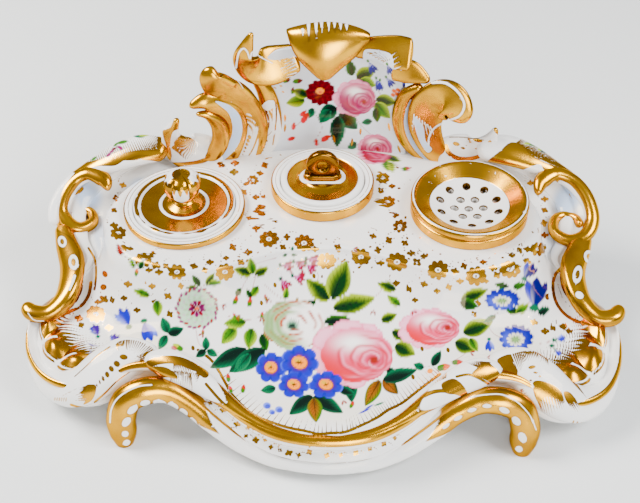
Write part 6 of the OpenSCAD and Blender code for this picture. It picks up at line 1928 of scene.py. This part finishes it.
    def rim_leaf_left(self) -> None:
        """The left rim leaf: a brown-gold upper edge, a gilt heel and strokes across the white."""
        p = self.paint
        self.ridge()
        self.gold([(143.9, 371.4), (149.8, 363.7), (161.1, 360.2), (175.3, 359.8), (187.2, 363.4), (197.9, 369.3),
            (205, 374.1)], 8.0, tone=0.5)
        self.fill([(142.1, 372), (149.2, 367.3), (163.5, 366.7), (173, 371.4), (177.7, 378.6), (167, 377.4),
            (155.1, 378.4), (144.5, 376.2)], 0.1)
        p.comb([(173, 371.4), (181.3, 371.4), (190.8, 373.8)], [(168.2, 386.9), (181.3, 389.3), (193.1, 394)], 14,
            0.8)
        p.comb([(174.1, 363.1), (187.2, 365.5), (200.3, 372.6)], [(173, 370.3), (184.8, 373.8), (196.7, 382.1)], 18,
            1.1)
        self.gold([(206, 384), (222, 402), (240, 418), (262, 430), (290, 438), (322, 442)], 3.0, 3.6)
        self.dots([(201.5, 402.3), (202.6, 404.7), (200.3, 405.9)], 2.2)

    def rim_leaf_right(self) -> None:
        """The right rim leaf."""
        p = self.paint
        self.ridge()
        self.fill([(471.9, 373.2), (485.7, 362.5), (494.1, 367.1), (501, 374.8), (507.9, 389.3), (497.9, 387.8),
            (487.2, 380.9), (478, 376.3)], 0.25)
        self.gold([(456.6, 376.6), (468.8, 374.5), (479.5, 378.6), (490.3, 384.7), (507.1, 390.1)], 2.6)
        p.comb([(478, 367.1), (484.1, 364), (490.3, 362.5)], [(465.8, 362.5), (473.4, 361), (481.1, 361)], 10, 0.9)
        self.fill([(441.3, 384), (452, 378.6), (459.6, 381.7), (465.8, 389.3), (467.6, 396.2), (456.6, 394.7),
            (445.8, 393.1)], 0.45)
        self.gold([(380, 420.7), (403, 410), (425.9, 394.7), (444.3, 390.8), (467.3, 396.2)], 5.0, 3.6)
        p.comb([(389.2, 413), (410.6, 399.3), (430.5, 385.5), (445.8, 377.8)],
            [(398.4, 396.2), (416.8, 384), (432.1, 373.2), (447.4, 368.6)], 26, 0.8)

    def side_scroll_left(self) -> None:
        """Two white rings and a white stroke on the left side scroll."""
        self.ring(62.2, 241.6, 5.8, 4.3, 75)
        self.ring(73.5, 262.2, 7.8, 4.8, 85)
        self.white([(74.5, 276), (72.5, 282), (69.5, 289.5)], 3.2, 2.2)
        self.dark([(57, 230.5), (71, 238), (80, 252), (82.2, 266), (80, 280), (75, 290)], 1.0, 0.6)
        self.white([(28, 313), (34, 320), (44, 321)], 1.0)

    def side_scroll_right(self) -> None:
        """Rings and a long loop on the right side scroll."""
        self.ring(589, 256.8, 6.6, 5, 80)
        self.ring(596.2, 245.5, 5.6, 3.6, 70)
        self.ring(577.5, 274.5, 9, 4.6, 100)
        self.ovals(((579.4, 295.1, 4.4, 3.4, 35),))
        self.dark([(563.8, 264.5), (563.2, 278.3), (569.9, 293.6), (583.7, 305.8)], 1.1, 0.6)

    def volute(self) -> None:
        """A brown line along the inner edge of the volute."""
        self.dark([(60, 188), (71, 174), (85, 170), (100, 175), (109, 183)], 1.0, 0.6)
        self.dark([(554.3, 192.6), (561.6, 181.7), (573.8, 175.6), (588.4, 187.8), (595.8, 204.8)], 1.0, 0.6)


def curved(points: Sequence[Point], steps: int = 5) -> list[Point]:
    """Puts more points on a smooth curve through the given ones."""
    row = np.array(points, float)
    return [tuple(p) for p in along(row, np.linspace(0, 1, (len(points) - 1) * steps + 1))]


def looped(points: Sequence[Point], steps: int = 4) -> list[Point]:
    """Puts more points on a smooth closed curve through the given ones."""
    row = np.array(points, float)
    return [tuple(p) for p in around(row, np.arange(len(row) * steps) / steps)]


def gild_all(paint: Paint) -> None:
    """Gilds a whole surface."""
    paint.gilt[:] = 6


STAND = (Gilder.glaze_tints_and_shade, Gilder.deck, Gilder.fans, Gilder.corner_left, Gilder.corner_right, Gilder.sides,
         Gilder.front, Gilder.bouquet, Gilder.rim)
WORK: dict[str, tuple[Callable[[Gilder], None], ...]] = {
    "deck_skin": (*STAND, Gilder.posy), "tray_front_skin": STAND, "tray_side_skin": STAND,
    "rim_skin": (Gilder.glaze_tints_and_shade, Gilder.corner_left, Gilder.corner_right, Gilder.rim, Gilder.front),
    "crest_plate_skin": (Gilder.crest_panel,), "volute_left_skin": (Gilder.volute,),
    "volute_right_skin": (Gilder.volute,),
    **{f"{work.__name__}_skin": (work,) for work in (
        Gilder.crest_shell, Gilder.crest_leaf_left, Gilder.crest_leaf_right, Gilder.crest_border_left,
        Gilder.crest_border_right, Gilder.acanthus_outer_left, Gilder.acanthus_crescent_left,
        Gilder.acanthus_curl_left, Gilder.crest_scroll_right, Gilder.boat_leaf_left, Gilder.boat_leaf_right,
        Gilder.shoulder_leaf_left, Gilder.shoulder_leaf_right, Gilder.corner_scroll_left,
        Gilder.corner_scroll_right, Gilder.front_scroll_leg_left, Gilder.front_scroll_leg_right,
        Gilder.rim_leaf_left, Gilder.rim_leaf_right, Gilder.side_scroll_left, Gilder.side_scroll_right)},
}


# -- pots
def offsets(paint: Paint, pot: Pot) -> tuple[Array, Array]:
    """Distances right of and behind a pot's axis, in millimetres."""
    return tuple((paint.points - PLAN.placed(np.array([*pot.at, PLAN.deck])))[:, :2].T)


def rings(paint: Paint, pot: Pot) -> tuple[Array, Array]:
    """Distances from a pot's axis and heights over the deck, in millimetres."""
    return np.hypot(*offsets(paint, pot)), paint.points[:, 2] - PLAN.deck


def between(value: Array, lo: float, hi: float) -> Array:
    """Depth inside a band in drawing units."""
    return 1.8 * np.minimum(value - lo, hi - value)


def left_pot(paint: Paint) -> None:
    """A white flange with a gilt edge and a gold line inside it."""
    r, z = rings(paint, LEFT_POT)
    paint.gild(EVERY, np.minimum(1.8 * (r - 28.75), 1.8 * (z - 0.3)), tone=0.3)
    paint.gild(EVERY, np.minimum(between(r, 26.9, 27.25), between(z, 3, 9)), tone=0.6)


def left_cover(paint: Paint) -> None:
    """A gilt disc with a white ring round the bud and a white band at its edge."""
    r, z = rings(paint, LEFT_POT)
    paint.gild(EVERY, np.minimum(1.8 * (21.3 - r), 1.8 * (z - 1.9)), tone=0.25)
    paint.bare(EVERY, between(r, 10.6, 12.2))
    dx, dy = offsets(paint, LEFT_POT)
    turn = np.arctan2(dy, dx)
    rub = 1.3 * (0.9 + 0.5 * np.sin(7 * turn) + 0.4 * np.sin(19 * turn + 1)) * soft(0.3, -0.8, np.sin(turn))
    paint.gild(EVERY, np.minimum(between(r, 21.9, 24.4), between(z, 2, 9)) - rub - 0.3, tone=0.3)
    paint.gilt -= 0.9 * soft(20.6, 21.3, r) * soft(21.9, 21.3, r)


def bud(paint: Paint) -> None:
    """Gold petals, painted bronze to the left and brown in the clefts as shade, with white tips at the back and a
    white flame in front.
    """
    dx, dy = offsets(paint, LEFT_POT)
    turn = np.arctan2(dy, dx)
    z = paint.points[:, 2] - PLAN.deck - LEFT_POT.high + LEFT_POT.seat_step - 5
    gild_all(paint)
    front = np.degrees(np.abs(np.mod(turn + 1.5 * math.pi, TAU) - math.pi))
    flame = 1.8 * np.minimum(10.8 + 1.8 * np.sin(17 * turn) - z, z - 3.4 - 0.09 * front)
    paint.bare(EVERY, np.minimum(flame, 0.3 * (29 - front)))
    tips = 1.8 * np.minimum(z - 13.2 - 0.9 * np.sin(9 * turn), np.hypot(dx, dy) - 4.4)
    paint.bare(EVERY, np.minimum(tips, 0.1 * (front - 50)))
    # Painted shade: bronze on the left side, and brown in the clefts between the lobes.
    lobe = np.abs(np.sin(3 * turn))
    paint.tone[:] = np.maximum(0.3 + 0.5 * soft(0.3, -0.9, np.cos(turn)), 0.9 * soft(0.25, 0.1, lobe) * (z > 3))


def centre_pot(paint: Paint) -> None:
    """A gilt side and a white top with a worn gold line."""
    r, z = rings(paint, CENTRE_POT)
    paint.gild(EVERY, np.minimum(1.8 * (r - 24.7), 1.8 * (z - 0.0)))
    paint.gild(EVERY, np.minimum(between(r, 23.0, 23.3), between(z, 5, 9)), tone=0.6)


def centre_cover(paint: Paint) -> None:
    """A gilt middle inside a white band, with a white ring round the knob."""
    r, z = rings(paint, CENTRE_POT)
    dx, dy = offsets(paint, CENTRE_POT)
    knob = np.hypot(np.maximum(np.abs(dx) - 5, 0), dy)
    paint.gild(EVERY, np.minimum(1.8 * (17.6 - r), 1.8 * (z - 3.9)), tone=0.3)
    paint.bare(EVERY, between(knob, 4.6, 6.4))
    paint.gild(EVERY, np.minimum(between(r, 19.5, 20.4), between(z, 5, 9)), tone=0.5)
    paint.gilt -= 1.1 * soft(17.8, 18.6, r)


def centre_knob(paint: Paint) -> None:
    """Dull bronze gold."""
    gild_all(paint)
    paint.tone[:] = 1.0


def pounce_pot(paint: Paint) -> None:
    """Gilt outside, with a white pierced dish whose holes have brown edges."""
    r, z = rings(paint, POUNCE_POT)
    paint.gild(EVERY, np.minimum(1.8 * (r - 19.15), 1.8 * (z - 0.0)))
    dx, dy = offsets(paint, POUNCE_POT)
    for hx, hy in pounce_holes():
        away = np.hypot(dx - hx, dy - hy)
        paint.gild(EVERY, np.minimum(1.8 * (2.12 - away), 1.8 * (z - 0.6)), tone=0.75)
    at = between(r, 27.3, 27.6)
    paint.gilt = np.minimum(paint.gilt, np.where(z > 5.6, 0.9 - 1.3 * np.clip(at + 1, 0, 1), 6))


POTS: dict[str, Callable[[Paint], None]] = {
    "left_pot_shell": left_pot, "left_cover_disc": left_cover, "left_cover_bud": bud,
    "centre_pot_shell": centre_pot, "centre_cover_disc": centre_cover, "centre_cover_bar": centre_knob,
    "centre_cover_ring": centre_knob, "pounce_pot_shell": pounce_pot,
}


# ---------------------------------------------------------------- studio
class Studio:
    """The floor, the lights and the camera."""

    def floor(self) -> None:
        """Lays a plain pale sheet and a pale surround."""
        sheet = Workshop("plain_sheet")
        shader = sheet.node("ShaderNodeBsdfPrincipled", {},
            named={"Base Color": (0.80, 0.81, 0.80, 1.0), "Roughness": 0.75, "Specular IOR Level": 0.3})
        surface = sheet.finish(shader)
        a = np.linspace(0, TAU, 64, endpoint=False)
        grid = np.stack([np.stack([r * np.cos(a), r * np.sin(a), z + 0 * a], -1)
            for r, z in ((5.0, 0.0), (3000.0, 0.0), (3000.0, -4.0), (5.0, -4.0))])
        mesh = fill_mesh("sheet", *Skin(grid).build())
        mesh.materials.append(surface)
        thing = bpy.data.objects.new("sheet", mesh)
        bpy.context.scene.collection.objects.link(thing)
        world = bpy.data.worlds.new("surround")
        world.use_nodes = True
        world.node_tree.nodes["Background"].inputs[0].default_value = (0.86, 0.90, 0.95, 1.0)
        world.node_tree.nodes["Background"].inputs[1].default_value = 0.42
        bpy.context.scene.world = world

    def light(self, name: str, at: tuple[float, float, float], size: float, power: float, colour: Colour) -> None:
        """Hangs a soft square light that faces the stand."""
        lamp = bpy.data.lights.new(name, "AREA")
        lamp.size, lamp.energy, lamp.color = size, power, colour
        thing = bpy.data.objects.new(name, lamp)
        thing.location = at
        thing.rotation_euler = (Vector((0, 0, 0.03)) - Vector(at)).to_track_quat("-Z", "Y").to_euler()
        bpy.context.scene.collection.objects.link(thing)

    def camera(self) -> None:
        """Sets the camera on the writer's seat."""
        lens = bpy.data.cameras.new("camera")
        lens.lens, lens.sensor_width = 64.7, 36.0
        lens.shift_x = -0.0039
        thing = bpy.data.objects.new("camera", lens)
        thing.location = tuple(Easel.eye * MM)
        thing.rotation_euler = (math.radians(47.0), 0.0, 0.0)
        bpy.context.scene.collection.objects.link(thing)
        bpy.context.scene.camera = thing


def main() -> None:
    """Builds, paints and settles every piece."""
    logging.basicConfig(level=logging.INFO, format="%(message)s")
    pieces = StandShell().skins()
    wells = [drill(pot.at, pot.side + 0.8, PLAN.deck - 12, PLAN.deck + 12) for pot in ALL_POTS]
    pieces[0].mesh = carved(pieces[0].mesh, wells)
    for ornament in ORNAMENTS:
        mesh, shares, angles = ornament.mesh()
        pieces.append(Piece(f"{ornament.name}_skin", "stand", ornament.slot, mesh, (ornament.name,),
            {"share": shares, "across": np.cos(angles), "front": np.sin(angles)}))
    pieces += pots()
    finishes = {slot: Glaze(slot).make() for slot in ("white_glaze", "painted_glaze", "gilt")}
    for piece in pieces:
        paint = piece.paint()
        if piece.name in POTS:
            POTS[piece.name](paint)
        elif piece.slot == "gilt":
            gild_all(paint)
            # Painted shade: the gold of each leaf and scroll browns towards its sides, where it meets what lies
            # beside it.
            paint.tone = 0.7 * soft(0.84, 1.0, np.abs(piece.guide["across"]))
        gilder = Gilder(paint)
        for work in WORK.get(piece.name, ()):
            work(gilder)
        piece.wear(paint)
        piece.settle(finishes[piece.slot])
    studio = Studio()
    studio.floor()
    studio.light("window_left", (-0.75, 0.1, 0.9), 0.5, 27.0, (1.0, 0.98, 0.95))
    studio.light("window_right", (0.75, -0.3, 0.9), 0.5, 18.0, (0.96, 0.98, 1.0))
    studio.light("window_front", (0.2, -1.1, 0.35), 0.5, 11.0, (0.95, 0.98, 1.0))
    studio.camera()


if __name__ == "__main__":
    main()
